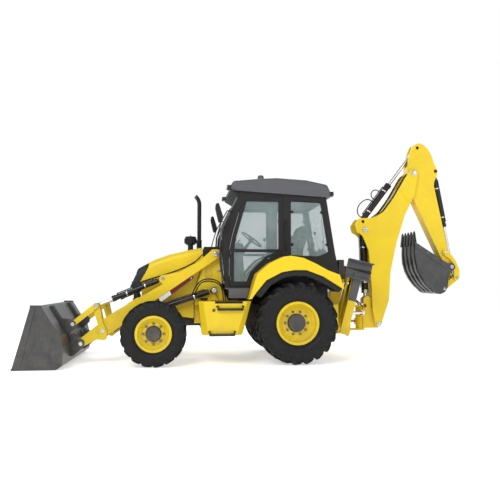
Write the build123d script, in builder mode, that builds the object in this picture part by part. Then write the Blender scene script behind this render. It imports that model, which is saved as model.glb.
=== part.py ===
"""Backhoe loader with a front loader bucket and a folded rear digging arm.

Millimetres. +X is forward, +Y is the machine's left, +Z is up. The origin is on
the ground at the middle of the machine's length and width.
"""

import os
from math import atan2, cos, degrees, hypot, pi, radians, sin, tan

from build123d import *

os.makedirs("parts", exist_ok=True)

# --- Driving dimensions -------------------------------------------------------

sides = {"left": 1, "right": -1}

# Wheels
wheelbase = 2175
front_axle_x = 1620
rear_axle_x = front_axle_x - wheelbase
front_tyre_radius = 492
front_tyre_width = 310
front_rim_radius = 272
front_wheel_y = 955
rear_tyre_radius = 633
rear_tyre_width = 450
rear_rim_radius = 331
rear_wheel_y = 875
rim_flange_height = 25
kingpin_y = 840
spindle_radius = 45
axle_shaft_radius = 60
running_clearance = 0.2
contact_gap = 0.3
joint_clearance = 5

# Pins of the loader linkage, as X and Z
arm_pivot = (675, 1710)
arm_tube = (2300, 470)
lift_base_pin = (701, 1134)
lift_eye_pin = (1995, 705)
tilt_base_pin = (1508, 1318)
lever_pivot = (2415, 512)
lever_top_pin = (2520, 901)
bucket_upper_pin = (2858, 622)
bucket_lower_pin = (2748, 317)

# Layers of the loader linkage, as distances from the machine's middle
arm_inner_y = 470
arm_outer_y = 560
arm_middle_y = (arm_inner_y + arm_outer_y) / 2
lever_thickness = 25
lever_gap = 10
link_thickness = 30
cheek_thickness = 13
ear_thickness = 24
loader_eye_half_width = 28

# Pins of the digging arm, as X and Z
swing_axis_x = -1850
boom_foot_pin = (-2132, 545)
boom_rod_pin = (-1946, 969)
boom_barrel_pin = (-1912, 2165)
dipper_barrel_pin = (-1873, 2303)
dipper_pivot = (-2801, 3167)
dipper_rod_pin = (-2890, 3625)
dig_barrel_pin = (-3215, 3216)
rocker_pivot = (-3349, 1783)
rocker_end_pin = (-3560, 1340)
dig_bucket_pivot = (-3456, 1533)
dig_link_pin = (-3312, 1149)

boom_half_width = 150
boom_plate = 40
dipper_half_width = 100
rocker_thickness = 25
digging_eye_half_width = 40

# Stabilizers: the legs turn in a plane that leans back by this angle
stabilizer_lean = 13
stabilizer_x = -1393
stabilizer_pivot_y = 560
stabilizer_pivot_z = 480
stabilizer_length = 925
stabilizer_spread = 105
pad_size = (410, 125, 300)

# Cab
cab_half_width = 720
cab_front_x = 592
cab_rear_x = -1270
cab_floor_z = 1150
roof_top_z = 2921
glass_thickness = 6
door_hinge = (475, cab_half_width + 12)
pillar_width = 110

# Loader bucket
bucket_half_width = 1150
bucket_plate = 20

# Digging bucket
dig_bucket_half_width = 305
dig_bucket_plate = 16


# --- Small shape helpers ------------------------------------------------------


def side_plane(y):
    """Plane whose local axes are X and Z and whose extrusions run towards -Y."""
    return Plane(origin=(0, y, 0), x_dir=(1, 0, 0), z_dir=(0, -1, 0))


def distance(start, end):
    return hypot(end[0] - start[0], end[1] - start[1])


def fitted_radii(outline):
    """Corner radii of an outline, each held to what its two edges leave room for."""
    radii = []
    for i, corner in enumerate(outline):
        before, after = outline[i - 1], outline[(i + 1) % len(outline)]
        turn = (atan2(after[1] - corner[1], after[0] - corner[0])
                - atan2(corner[1] - before[1], corner[0] - before[0]))
        half_turn = abs((turn + pi) % (2 * pi) - pi) / 2
        room = 0.45 * min(distance(before, corner), distance(corner, after))
        wanted = corner[2] if len(corner) > 2 else 0
        radii.append(0 if half_turn < 0.01 else min(wanted, room / tan(half_turn)))
    return radii


def slab(outline, y_low, y_high, mode=Mode.ADD):
    """Plate with an outline of (x, z) or (x, z, corner radius) between two Ys."""
    with BuildSketch(side_plane(y_high)) as profile:
        with BuildLine():
            FilletPolyline(*[corner[:2] for corner in outline], radius=fitted_radii(outline), close=True)
        make_face()
    extrude(profile.sketch, amount=y_high - y_low, mode=mode)


def paired_slabs(outline, y_inner, y_outer, mode=Mode.ADD):
    """The same plate on the left and on the right."""
    slab(outline, y_inner, y_outer, mode)
    slab(outline, -y_outer, -y_inner, mode)


def disc(centre, radius, y_low, y_high, mode=Mode.ADD):
    """Round boss, pin or bore along Y about an (x, z) centre."""
    with BuildSketch(side_plane(y_high)) as profile:
        with Locations(centre):
            Circle(radius)
    extrude(profile.sketch, amount=y_high - y_low, mode=mode)


def paired_discs(centre, radius, y_inner, y_outer, mode=Mode.ADD):
    disc(centre, radius, y_inner, y_outer, mode)
    disc(centre, radius, -y_outer, -y_inner, mode)


def bar(start, end, radius, mode=Mode.ADD):
    """Round bar or bore from one point to another."""
    start, end = Vector(*start), Vector(*end)
    with BuildSketch(Plane(origin=start, z_dir=end - start)) as profile:
        Circle(radius)
    extrude(profile.sketch, amount=(end - start).length, mode=mode)


def block(x_low, x_high, y_low, y_high, z_low, z_high, mode=Mode.ADD):
    """Rectangular block between six limits, each pair in either order."""
    size = (abs(x_high - x_low), abs(y_high - y_low), abs(z_high - z_low))
    centre = ((x_low + x_high) / 2, (y_low + y_high) / 2, (z_low + z_high) / 2)
    with Locations(centre):
        Box(*size, mode=mode)


def between(start, end, share):
    """Point on the line from start to end, as a share of its length."""
    return tuple(a + (b - a) * share for a, b in zip(start, end))


def short_of(start, end, gap):
    """Point on the way from start to end, a gap before the end."""
    span = (Vector(*end) - Vector(*start)).length
    return between(start, end, 1 - gap / span)


def along(start, end, length):
    """Point that lies a length from start towards end."""
    return between(start, end, length / distance(start, end))


def finish(part, name):
    """Label a finished piece and write it."""
    part.label = name
    export_step(part, f"parts/{name}.step")


# --- Wheels -------------------------------------------------------------------

wheels = {
    # name: axle x, wheel y, tyre radius, tyre width, rim radius, hub radius, shaft radius, shaft end
    "front": (front_axle_x, front_wheel_y, front_tyre_radius, front_tyre_width,
              front_rim_radius, 110, spindle_radius, 60),
    "rear": (rear_axle_x, rear_wheel_y, rear_tyre_radius, rear_tyre_width,
             rear_rim_radius, 135, axle_shaft_radius, 70),
}


def wheel_plane(x, y, radius, side):
    """Plane through the wheel's axis: local x runs outboard, local y is the radius."""
    return Plane(origin=(x, y, radius), x_dir=(0, side, 0), z_dir=(1, 0, 0))


for axle, (x, y, radius, width, rim, hub, shaft, shaft_end) in wheels.items():
    seat = rim - rim_flange_height
    bead = 0.36 * width
    height = radius - seat
    disc_face = 0.08 * width
    for side_name, side in sides.items():
        plane = wheel_plane(x, side * y, radius, side)
        axis = Axis((x, side * y, radius), (0, 1, 0))
        name = f"tyre_{axle}_{side_name}"
        with BuildPart() as tyre:
            with BuildSketch(plane):
                with BuildLine():
                    FilletPolyline(
                        (-bead + 12.3, seat + 0.3), (-bead + 12.3, rim + 1), (-0.5 * width, seat + 0.45 * height),
                        (-0.48 * width, radius - 0.15 * height), (-0.38 * width, radius),
                        (0.38 * width, radius), (0.48 * width, radius - 0.15 * height),
                        (0.5 * width, seat + 0.45 * height), (bead - 12.3, rim + 1), (bead - 12.3, seat + 0.3),
                        radius=[0, 0, 40, 30, 0, 0, 30, 40, 0, 0], close=True)
                make_face()
            revolve(axis=axis)
        finish(tyre.part, name)

        with BuildPart() as rim_part:
            with BuildSketch(plane):
                with BuildLine():
                    Polyline(
                        (bead, rim), (bead, seat - 12), (disc_face + 50, seat - 30),
                        (disc_face, seat - 80), (disc_face, hub), (disc_face + 70, hub - 12),
                        (disc_face + 70, 0), (shaft_end, 0), (shaft_end, shaft + running_clearance),
                        (disc_face - 60, shaft + running_clearance), (disc_face - 60, hub - 20),
                        (disc_face - 18, hub - 5), (disc_face - 18, seat - 74), (disc_face + 28, seat - 14),
                        (-bead, seat - 14), (-bead, rim), (-bead + 12, rim), (-bead + 12, seat),
                        (bead - 12, seat), (bead - 12, rim), close=True)
                make_face()
            revolve(axis=axis)
        finish(rim_part.part, f"rim_{axle}_{side_name}")

# --- Axles and knuckles -------------------------------------------------------

yoke_height = 105
yoke_radius = 62
kingpin_radius = 30
knuckle_radius = 75
front_diff_radius = 165
rear_diff_radius = 215
rear_housing_radius = 105
trunnion_radius = 50

with BuildPart() as axles:
    # Front axle: a beam with forked ends that hold the kingpins
    z = front_tyre_radius
    yoke_end = kingpin_y - yoke_radius - 30
    bar((front_axle_x, -yoke_end, z), (front_axle_x, yoke_end, z), 70)
    with Locations((front_axle_x, 0, z)):
        Sphere(front_diff_radius)
    bar((front_axle_x - 200, 0, z), (front_axle_x + 200, 0, z), trunnion_radius)
    bar((front_axle_x - 140, 130, z + 10), (front_axle_x, 130, z), 45)
    for side in sides.values():
        block(front_axle_x - yoke_radius, front_axle_x + yoke_radius,
              *sorted((side * (yoke_end - 20), side * yoke_end)),
              z - yoke_height - 30, z + yoke_height + 30)
        for level in (-1, 1):
            low, high = sorted((z + level * yoke_height, z + level * (yoke_height + 30)))
            block(front_axle_x - yoke_radius, front_axle_x + yoke_radius,
                  *sorted((side * (yoke_end - 10), side * kingpin_y)), low, high)
            bar((front_axle_x, side * kingpin_y, low), (front_axle_x, side * kingpin_y, high), yoke_radius)
            bar((front_axle_x, side * kingpin_y, z + level * (yoke_height - 35)),
                (front_axle_x, side * kingpin_y, z + level * yoke_height), kingpin_radius)
    # Rear axle: a casting that ends in the wheels' shafts
    z = rear_tyre_radius
    shaft_start = rear_wheel_y + 0.08 * rear_tyre_width - 60
    bar((rear_axle_x, -shaft_start + joint_clearance, z), (rear_axle_x, shaft_start - joint_clearance, z),
        rear_housing_radius)
    bar((rear_axle_x, -rear_wheel_y - 70, z), (rear_axle_x, rear_wheel_y + 70, z), axle_shaft_radius)
    with Locations((rear_axle_x, 0, z)):
        Sphere(rear_diff_radius)
finish(axles.part, "axles")

for side_name, side in sides.items():
    z = front_tyre_radius
    with BuildPart() as knuckle:
        top = z + yoke_height - joint_clearance
        bottom = z - yoke_height + joint_clearance
        bar((front_axle_x, side * kingpin_y, bottom), (front_axle_x, side * kingpin_y, top), knuckle_radius)
        for level in (bottom, top):
            bar((front_axle_x, side * kingpin_y, level),
                (front_axle_x, side * kingpin_y, z + (level - z) / 3), kingpin_radius + running_clearance,
                Mode.SUBTRACT)
        bar((front_axle_x, side * kingpin_y, z),
            (front_axle_x, side * (front_wheel_y + 0.08 * front_tyre_width - 65), z), 68)
        bar((front_axle_x, side * kingpin_y, z), (front_axle_x, side * (front_wheel_y + 60), z), spindle_radius)
        # Steering arm towards the tie rod
        block(front_axle_x - 190, front_axle_x - 40, *sorted((side * (kingpin_y - 30), side * (kingpin_y - 5))),
              z - 20, z + 20)
    finish(knuckle.part, f"knuckle_{side_name}")

# --- Chassis ------------------------------------------------------------------

rail_inner_y = 240
rail_outer_y = 300
frame_top_z = 900
tow_eye_x = 2070
tow_eye_radius = 18
swing_plate = 30
swing_hub_low = 475
swing_hub_high = 835
swing_cylinder_y = 170
swing_cylinder_radius = 55
swing_lug_z = {"left": 740, "right": 580}
lean = radians(stabilizer_lean)


def stabilizer_point(outward, up, side, across=0):
    """Point in a leg's leaning plane: outward from its pivot, up the lean, across it."""
    return (stabilizer_x - up * sin(lean) + across * cos(lean),
            side * (stabilizer_pivot_y + outward),
            stabilizer_pivot_z + up * cos(lean) + across * sin(lean))


def leg_frame(side):
    """Plane of a leg: local x outward, local y up the lean."""
    return Plane(origin=(stabilizer_x, side * stabilizer_pivot_y, stabilizer_pivot_z),
                 x_dir=(0, side, 0), z_dir=(side * cos(lean), 0, side * sin(lean)))


def leg_slab(side, outline, across_low, across_high, mode=Mode.ADD):
    """Plate in a leg's plane; the plane's own normal points forward on the left side."""
    frame = leg_frame(side)
    low, high = sorted((side * across_low, side * across_high))
    with BuildSketch(frame.offset(low)) as profile:
        with BuildLine():
            FilletPolyline(*[corner[:2] for corner in outline], radius=fitted_radii(outline), close=True)
        make_face()
    extrude(profile.sketch, amount=high - low, mode=mode)


def leg_disc(side, centre, radius, across_low, across_high, mode=Mode.ADD):
    frame = leg_frame(side)
    low, high = sorted((side * across_low, side * across_high))
    with BuildSketch(frame.offset(low)) as profile:
        with Locations(centre):
            Circle(radius)
    extrude(profile.sketch, amount=high - low, mode=mode)



leg_half_x = 65
ear_across = leg_half_x + joint_clearance
ear_plate = 28
cross_frame_x = (-1297, -1210)
hood_hinge = (1985, 1180)
hood_pin_radius = 12
stabilizer_up = (0.129 * stabilizer_length, 0.9916 * stabilizer_length)
stabilizer_barrel_pin = (-130, 830)
stabilizer_rod_pin = (-40, 255)

with BuildPart() as chassis:
    # Two long rails under the engine and cab
    rail = [(1900, 700), (1990, 800), (1990, 1000), (1500, 1000), (1320, frame_top_z),
            (cross_frame_x[1] + contact_gap, frame_top_z), (cross_frame_x[1] + contact_gap, 500), (-900, 520), (-800, 780), (-250, 780), (-150, 560), (1250, 560), (1350, 690)]
    paired_slabs(rail, rail_inner_y, rail_outer_y)
    # Cross members
    block(1900, 1990, -rail_inner_y, rail_inner_y, 800, 1000)
    block(1200, 1290, -rail_inner_y, rail_inner_y, 700, 780)
    block(-60, 40, -rail_inner_y, rail_inner_y, 780, 880)
    # Tow eye under the nose
    block(1985, 2050, -70, 70, 800, 830)
    bar((2050, 0, 800), (2050, 0, 830), 70)
    bar((tow_eye_x, 0, 790), (tow_eye_x, 0, 840), tow_eye_radius, Mode.SUBTRACT)
    # Bolster and hangers that hold the front axle's trunnion
    block(front_axle_x - 200, front_axle_x + 200, -rail_inner_y, rail_inner_y, 700, 860)
    for x in (front_axle_x - 200, front_axle_x + 175):
        block(x, x + 25, -90, 90, front_tyre_radius - 80, 700)
    bar((front_axle_x - 210, 0, front_tyre_radius), (front_axle_x + 210, 0, front_tyre_radius),
        trunnion_radius + running_clearance, Mode.SUBTRACT)
    # Pads between the rear axle and the rails
    paired_slabs([(rear_axle_x - 90, 790), (rear_axle_x + 90, 790),
                  (rear_axle_x + 90, rear_tyre_radius + rear_housing_radius + contact_gap),
                  (rear_axle_x - 90, rear_tyre_radius + rear_housing_radius + contact_gap)],
                 rail_inner_y, rail_outer_y)
    # Hood hinge brackets at the nose
    paired_slabs([(1900, 990), (1976, 990), (1984, 1150, 20), (1997, 1170, 12), (1990, 1198, 15), (1965, 1190, 15)], 300, 330)
    paired_slabs([(1900, 960), (1988, 960), (1988, 1000), (1900, 1000)], rail_outer_y, 330)
    paired_discs(hood_hinge, hood_pin_radius, 320, 352)
    # Rear cross frame
    block(*cross_frame_x, -630, 630, 500, frame_top_z)
    # Box between the cross frame and the swing post
    paired_slabs([(cross_frame_x[0], 500), (-1520, 440), (-1520, frame_top_z), (cross_frame_x[0], frame_top_z)],
                 300, 330)
    block(-1520, cross_frame_x[0], -310, 310, frame_top_z - 25, frame_top_z)
    block(-1520, -1490, -330, 330, 440, frame_top_z)
    # Upper and lower plates that hold the swing post's kingpins
    for low in (swing_hub_low - joint_clearance - swing_plate, swing_hub_high + joint_clearance):
        block(-1520, swing_axis_x, -75, 75, low, low + swing_plate)
        block(-1620, -1500, -200, 200, low, low + swing_plate)
        bar((swing_axis_x, 0, low), (swing_axis_x, 0, low + swing_plate), 75)
    bar((swing_axis_x, 0, swing_hub_low - 20), (swing_axis_x, 0, swing_hub_low + 90), 35)
    bar((swing_axis_x, 0, swing_hub_high - 90), (swing_axis_x, 0, swing_hub_high + 20), 35)
    for side_name, side in sides.items():
        # Seats of the swing cylinders
        z = swing_lug_z[side_name]
        bar((-1600, side * swing_cylinder_y, z), (-1140, side * swing_cylinder_y, z),
            swing_cylinder_radius + contact_gap, Mode.SUBTRACT)
        # Uprights that hold the stabilizer leg and its cylinder between two plates
        for direction in (-1, 1):
            low, high = sorted((direction * ear_across, direction * (ear_across + ear_plate)))
            leg_slab(side, [(-232, -30), (-60, -70, 60), (20, -75, 60), (75, 10, 60), (20, 100, 40), (-85, 220, 40),
                            (-85, 880, 40), (-180, 880, 40), (-205, 440), (-232, 400)], low, high)
        leg_slab(side, [(-232, -30), (-232, 400), (-205, 440), (-190, 760), (-176, 760), (-186, 440), (-212, 380),
                        (-212, -30)], -ear_across, ear_across)
        leg_disc(side, (0, 0), 35, -ear_across - ear_plate, ear_across + ear_plate)
        leg_disc(side, stabilizer_barrel_pin, 25, -ear_across - ear_plate, ear_across + ear_plate)
        leg_disc(side, stabilizer_barrel_pin, 36, -ear_across, -45 - contact_gap)
        leg_disc(side, stabilizer_barrel_pin, 36, 45 + contact_gap, ear_across)
finish(chassis.part, "chassis_frame")

with BuildPart() as powertrain:
    # Engine and gearbox, each on mounts at the rails
    block(900, 1750, -210, 210, 870, 1400)
    block(100, 880, -200, 200, 640, 1060)
    block(870, 910, -150, 150, 880, 1050)
    for x in (450, 1080):
        block(x, x + 90, contact_gap - rail_inner_y, rail_inner_y - contact_gap, 872, frame_top_z - 5)
    # Shafts to both axles
    rear_centre = (rear_axle_x, 0, rear_tyre_radius)
    front_centre = (front_axle_x, 0, front_tyre_radius + 70)
    bar((160, 0, 700), short_of((160, 0, 700), rear_centre, rear_diff_radius + contact_gap), 45)
    bar((860, 130, 670), (front_axle_x - 152, 130, front_tyre_radius + 10), 34)
finish(powertrain.part, "powertrain")

# --- Tower and side panels ----------------------------------------------------

tower_inner_y = 425
tower_outer_y = 458

with BuildPart() as tower:
    tower_outline = [(600, 1700), (610, 1790, 40), (735, 1790, 40), (850, 1560), (960, 1250), (1010, 980),
                     (1010, 900), (560, 900), (560, 1050), (585, 1400)]
    paired_slabs(tower_outline, tower_inner_y, tower_outer_y)
    paired_slabs([(1010, 960), (1010, 600), (560, 600), (560, 960)], rail_outer_y, 345)
    paired_slabs([(1010, 960), (1010, 900), (560, 900), (560, 960)], 345, tower_outer_y)
    paired_slabs([(600, 640), (900, 640), (900, 600), (600, 600)], 345, tower_outer_y)
    # Raised plate behind each lift cylinder's base
    paired_slabs([(480, 975), (570, 1190, 60), (701, 1270, 60), (850, 1190, 60), (960, 975)],
                 tower_outer_y, 470)
    for side in sides.values():
        # Pins with round caps: the arm's pivot and the lift cylinder's base
        disc(arm_pivot, 32, *sorted((side * (tower_outer_y - 5), side * (arm_outer_y + 8))))
        disc(arm_pivot, 44, *sorted((side * (arm_outer_y + 5), side * (arm_outer_y + 20))))
        disc(arm_pivot, 62, *sorted((side * tower_outer_y, side * (arm_inner_y - joint_clearance))))
        disc(lift_base_pin, 28, *sorted((side * 465, side * (arm_middle_y + 48))))
        disc(lift_base_pin, 40, *sorted((side * (arm_middle_y + 45), side * (arm_middle_y + 58))))
        disc(lift_base_pin, 40, *sorted((side * 465, side * (arm_middle_y - loader_eye_half_width - contact_gap))))
finish(tower.part, "loader_tower")

seam = [(886, 1707), (992, 1600), (1158, 1506), (1298, 1447), (1554, 1363), (1846, 1271)]
seam_gap = 8

with BuildPart() as side_panels:
    paired_slabs([(1020, 686), (1020, 1562)] + [(x, z - 2 * seam_gap) for x, z in seam[2:]]
                 + [(1846, 1000), (1318, 880), (1202, 707)], 385, 400)
    # Flanges that bolt to the rails
    paired_slabs([(1520, 930), (1840, 930), (1840, 960), (1520, 960)], rail_outer_y + contact_gap, 395)
    paired_slabs([(1520, 930), (1840, 930), (1840, 1010), (1520, 940)], 385, 400)
finish(side_panels.part, "side_panels")

# --- Hood ---------------------------------------------------------------------

hood_half_width = 400


hood_sections = [(880, 1822), (1130, 1780), (1405, 1712), (1650, 1622), (1880, 1498), (2060, 1380)]
shoulder_radius = 110


def hood_shape(inset):
    """Hood block with rounded shoulders, inset from its outer skin."""
    with BuildPart() as body:
        for x, top in hood_sections:
            half_width = hood_half_width - inset
            with BuildSketch(Plane(origin=(x, 0, 0), x_dir=(0, 1, 0), z_dir=(1, 0, 0))):
                with BuildLine():
                    FilletPolyline((-half_width, 1150), (half_width, 1150), (half_width, top - inset),
                                   (-half_width, top - inset), close=True,
                                   radius=[0, 0, shoulder_radius - inset, shoulder_radius - inset])
                make_face()
        loft(ruled=True)
        # Sloping nose
        slab([(1891 - inset, 1488), (2027 - inset, 1189), (2040 - inset, 1100), (2300, 1100), (2300, 1900),
              (1800 - inset, 1689)], -500, 500, Mode.SUBTRACT)
    return body.part


below_seam = [(800, 1100), (800, 1707), (886, 1707)] + seam[1:] + [(2100, 1271 - 90), (2100, 1100)]
nose_line = [(1742, 1500), (1866, 1271)]
outer_hood = hood_shape(0)
inner_hood = hood_shape(18)

with BuildPart() as hood:
    add(outer_hood)
    add(inner_hood, mode=Mode.SUBTRACT)
    slab(below_seam, -500, 500, Mode.SUBTRACT)
    # The black grille takes the nose
    slab([(1735, 1600), (1742, 1500), (1866, 1271), (1880, 1100), (2300, 1100), (2300, 1600)],
         -500, 500, Mode.SUBTRACT)
    block(800, 905, -500, 500, 1100, 1707, Mode.SUBTRACT)
    # Slot that lets the hood swing clear of the exhaust pipe
    block(860, 985, -255, -145, 1600, 1900, Mode.SUBTRACT)
finish(hood.part, "hood")

with BuildPart() as grille:
    add(outer_hood)
    add(inner_hood, mode=Mode.SUBTRACT)
    slab([(700, 1050), (700, 1950), (1730, 1950), (1735, 1600), (1742, 1500), (1866, 1271), (1880, 1180),
          (1890, 1050)], -500, 500, Mode.SUBTRACT)
    block(1700, 2200, -500, 500, 1000, 1180, Mode.SUBTRACT)
    # Lugs round the hinge pins
    paired_slabs([(1962, 1165, 20), (2008, 1165, 20), (2006, 1270), (1966, 1270)], 336, 350)
    paired_discs(hood_hinge, hood_pin_radius + running_clearance, 330, 360, Mode.SUBTRACT)
finish(grille.part, "grille")

precleaner_x = 1075
precleaner_y = 60

with BuildPart() as precleaner:
    for low, high, radius in ((1770, 1890, 45), (1885, 1905, 75), (1905, 1990, 100), (1990, 2015, 90)):
        bar((precleaner_x, precleaner_y, low), (precleaner_x, precleaner_y, high), radius)
    add(outer_hood, mode=Mode.SUBTRACT)
finish(precleaner.part, "precleaner")

exhaust_x = 925
exhaust_y = -200

with BuildPart() as exhaust:
    pipe_radius = 35
    bar((exhaust_x, exhaust_y, 1400), (exhaust_x, exhaust_y, 2600), pipe_radius)
    with BuildSketch(Plane(origin=(exhaust_x, exhaust_y, 2600))):
        Circle(pipe_radius)
    revolve(axis=Axis((exhaust_x + 190, exhaust_y, 2600), (0, 1, 0)), revolution_arc=50)
    bar((exhaust_x, exhaust_y, 1840), (exhaust_x, exhaust_y, 1985), 44)
finish(exhaust.part, "exhaust_stack")

# --- Step boxes on both sides -------------------------------------------------

with BuildPart() as tanks:
    for side in sides.values():
        inner_y, outer_y, bevel_y = tower_outer_y + contact_gap, 1050, 960
        for z_low, z_high, x_front, x_rear in ((465, 970, 900, 290),):
            with BuildSketch(Plane.XY.offset(z_low)):
                with BuildLine():
                    Polyline((x_front, side * inner_y), (x_front, side * bevel_y), (x_front - 95, side * outer_y),
                             (x_rear + 95, side * outer_y), (x_rear, side * bevel_y), (x_rear, side * inner_y),
                             close=True)
                make_face()
            with BuildSketch(Plane.XY.offset(z_high)):
                with BuildLine():
                    Polyline((x_front + 55, side * inner_y), (x_front + 55, side * bevel_y),
                             (x_front - 15, side * outer_y), (x_rear - 65, side * outer_y),
                             (x_rear - 135, side * bevel_y), (x_rear - 135, side * inner_y), close=True)
                make_face()
            loft()
        # Recess under the top step and two step rungs
        block(300, 700, *sorted((side * 985, side * 1100)), 940, 1000, Mode.SUBTRACT)
        for x_low, x_high, z in ((300, 660, 850), (425, 780, 470)):
            y_low, y_high = sorted((side * 1030, side * 1105))
            block(x_low, x_high, y_low, y_high, z - 15, z + 15)
finish(tanks.part, "step_boxes")

# --- Cab ----------------------------------------------------------------------

cab_side = [(528, cab_floor_z), (592, 1771, 300), (580, 2060, 300), (424, 2401), (300, 2700), (-1085, 2620),
            (-1229, 1711), (-1290, 1407), (-1290, 1300), (-800, 1230), (-300, 1230), (60, 1200), (200, cab_floor_z)]


front_window = [(560, 1260), (600, 1771), (590, 2060), (430, 2401), (330, 2640)]
door_window_upper = [(452, 1800), (440, 2020), (300, 2380), (210, 2560), (-350, 2560), (-350, 1800)]
rear_side_window = [(-500, 2560), (-1000, 2540), (-1130, 1740), (-960, 1660), (-500, 1680)]
door_opening = [(475, 1190), (475, 1760), (426, 2007), (246, 2620, 40), (-385, 2620, 30), (-385, 1706),
                (-160, 1652, 200), (62, 1410, 120), (146, 1190)]
fender_arch = [(200, 1000), (76, 1387), (-118, 1550), (-324, 1647), (-440, 1661), (-634, 1628), (-827, 1541),
               (-1017, 1438), (-1194, 1374), (-1264, 1158)]

with BuildPart() as cab:
    slab(cab_side, -cab_half_width, cab_half_width)
    # Hollow inside, with a floor
    slab([(480, 1240), (545, 1771, 300), (533, 2060, 300), (385, 2401), (265, 2640), (-1035, 2570), (-1180, 1711),
          (-1240, 1440), (-1100, 1440), (-1000, 1500), (-300, 1500), (60, 1240)],
         -cab_half_width + 45, cab_half_width - 45, Mode.SUBTRACT)
    # Door openings and rear side windows
    paired_slabs(door_opening, cab_half_width - 60, cab_half_width + 60, Mode.SUBTRACT)
    paired_slabs(rear_side_window, cab_half_width - 60, cab_half_width + 60, Mode.SUBTRACT)
    # Windscreen and rear window
    slab([(400, 1260), (700, 1260), (700, 2640), (280, 2640), (380, 2401), (490, 2060), (490, 1771)],
         -cab_half_width + 70, cab_half_width - 70, Mode.SUBTRACT)
    slab([(-1400, 1760), (-1100, 1760), (-960, 2560), (-1400, 2560)],
         -cab_half_width + 70, cab_half_width - 70, Mode.SUBTRACT)
    # Wheel arches under the rear of the cab stay clear of the tyres
    for side in sides.values():
        block(-1300, 130, *sorted((side * 600, side * 800)), 1100, 1400, Mode.SUBTRACT)
    # Hinge pins of the doors
    for side in sides.values():
        for z in (1290, 1690):
            bar((door_hinge[0], side * door_hinge[1], z - 45), (door_hinge[0], side * door_hinge[1], z + 62), 5)
            bar((door_hinge[0], side * door_hinge[1], z - 45), (door_hinge[0], side * door_hinge[1], z - 3), 11)
            block(door_hinge[0], 520, *sorted((side * (door_hinge[1] - 12), side * (door_hinge[1] + 4))), z - 45, z - 3)
    # Mounts that carry the cab on the rails
    for side in sides.values():
        for x in (350, -1150):
            block(x - 60, x + 60, *sorted((side * (rail_inner_y + 5), side * (rail_outer_y - 5))),
                      frame_top_z + contact_gap, 1235 if x > 0 else 1330)
finish(cab.part, "cab_frame")

with BuildPart() as roof:
    slab([(318, 2701.3), (400, 2712), (444, 2730, 20), (440, 2815, 40), (406, 2862, 60), (-1, 2903, 300),
          (-274, 2921, 600), (-756, 2895, 300), (-1103, 2826, 60), (-1148, 2729, 30), (-1150, 2616.5)], -760, 760)
    edges_y = [edge for edge in roof.edges() if abs(abs(edge.center().Y) - 760) < 1 and edge.center().Z > 2790]
    fillet(edges_y, 50)
finish(roof.part, "cab_roof")

with BuildPart() as glass:
    # Windscreen, rear window and rear side windows, each a pane seated in its frame
    slab([(503, 1260), (509, 1260), (556, 1771), (544, 2064), (392, 2403), (295, 2640), (289, 2638), (386, 2400),
          (538, 2062), (550, 1771)], -cab_half_width + 70, cab_half_width - 70)
    slab([(-1200, 1760), (-1206, 1760), (-1076, 2560), (-1070, 2560)], -cab_half_width + 70, cab_half_width - 70)
    for side in sides.values():
        slab(rear_side_window, *sorted((side * (cab_half_width - 25), side * (cab_half_width - 19))))
finish(glass.part, "cab_glass")

door_outline = [(469, 1196), (469, 1759), (420, 2005), (241, 2614, 36), (-379, 2614, 26), (-379, 1711),
                (-157, 1657, 196), (67, 1416, 118), (151, 1196)]
door_thickness = 38

for side_name, side in sides.items():
    with BuildPart() as door:
        outer, inner = side * cab_half_width, side * (cab_half_width - door_thickness)
        slab(door_outline, *sorted((inner, outer)))
        upper = [(400, 1780), (360, 1985, 60), (200, 2540, 30), (-310, 2540, 30), (-310, 1780)]
        lower = [(400, 1270), (400, 1735), (-250, 1735), (-90, 1660, 150), (140, 1420, 100), (200, 1270)]
        for opening in (upper, lower):
            slab(opening, *sorted((inner - side * 5, outer + side * 5)), mode=Mode.SUBTRACT)
        # Hinge leaves on the front post
        for z in (1290, 1690):
            bar((door_hinge[0], side * door_hinge[1], z), (door_hinge[0], side * door_hinge[1], z + 60), 11)
            block(425, door_hinge[0], *sorted((side * (door_hinge[1] - 12), side * (door_hinge[1] + 4))), z, z + 60)
            bar((door_hinge[0], side * door_hinge[1], z - 50), (door_hinge[0], side * door_hinge[1], z + 70),
                5 + running_clearance, Mode.SUBTRACT)
    finish(door.part, f"door_{side_name}")

    with BuildPart() as pane:
        for opening in (upper, lower):
            slab(opening, *sorted((side * (cab_half_width - 22), side * (cab_half_width - 16))))
    finish(pane.part, f"door_glass_{side_name}")

with BuildPart() as fenders:
    inner_arch = [(160, 1010), (106, 1089), (-57, 1287), (-298, 1412), (-488, 1444), (-680, 1444), (-936, 1348),
                  (-1244, 1158)]
    outline = fender_arch + inner_arch[::-1]
    for side in sides.values():
        slab(outline, *sorted((side * (cab_half_width + contact_gap), side * 1110)))
        # Hollow below, above the tyre
        slab([(60, 1330), (-130, 1510), (-330, 1610), (-440, 1625), (-634, 1592), (-820, 1510), (-1010, 1405),
              (-1180, 1345), (-1200, 1000), (60, 1000)], *sorted((side * (cab_half_width + 30), side * 1085)),
             mode=Mode.SUBTRACT)
finish(fenders.part, "rear_fenders")

with BuildPart() as interior:
    # Operator's chair on its pedestal, and the two control stands
    block(-850, -400, -120, 120, 1500 + contact_gap, 1700)
    block(-870, -350, -250, 250, 1700, 1810)
    slab([(-640, 1810), (-790, 1810), (-900, 2230, 40), (-800, 2250, 40)], -240, 240)
    block(180, 330, -110, 110, 1240 + contact_gap, 1850)
    bar((255, 0, 1840), (120, 0, 1950), 30)
finish(interior.part, "operator_station")

# --- Stabilizers --------------------------------------------------------------


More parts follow.
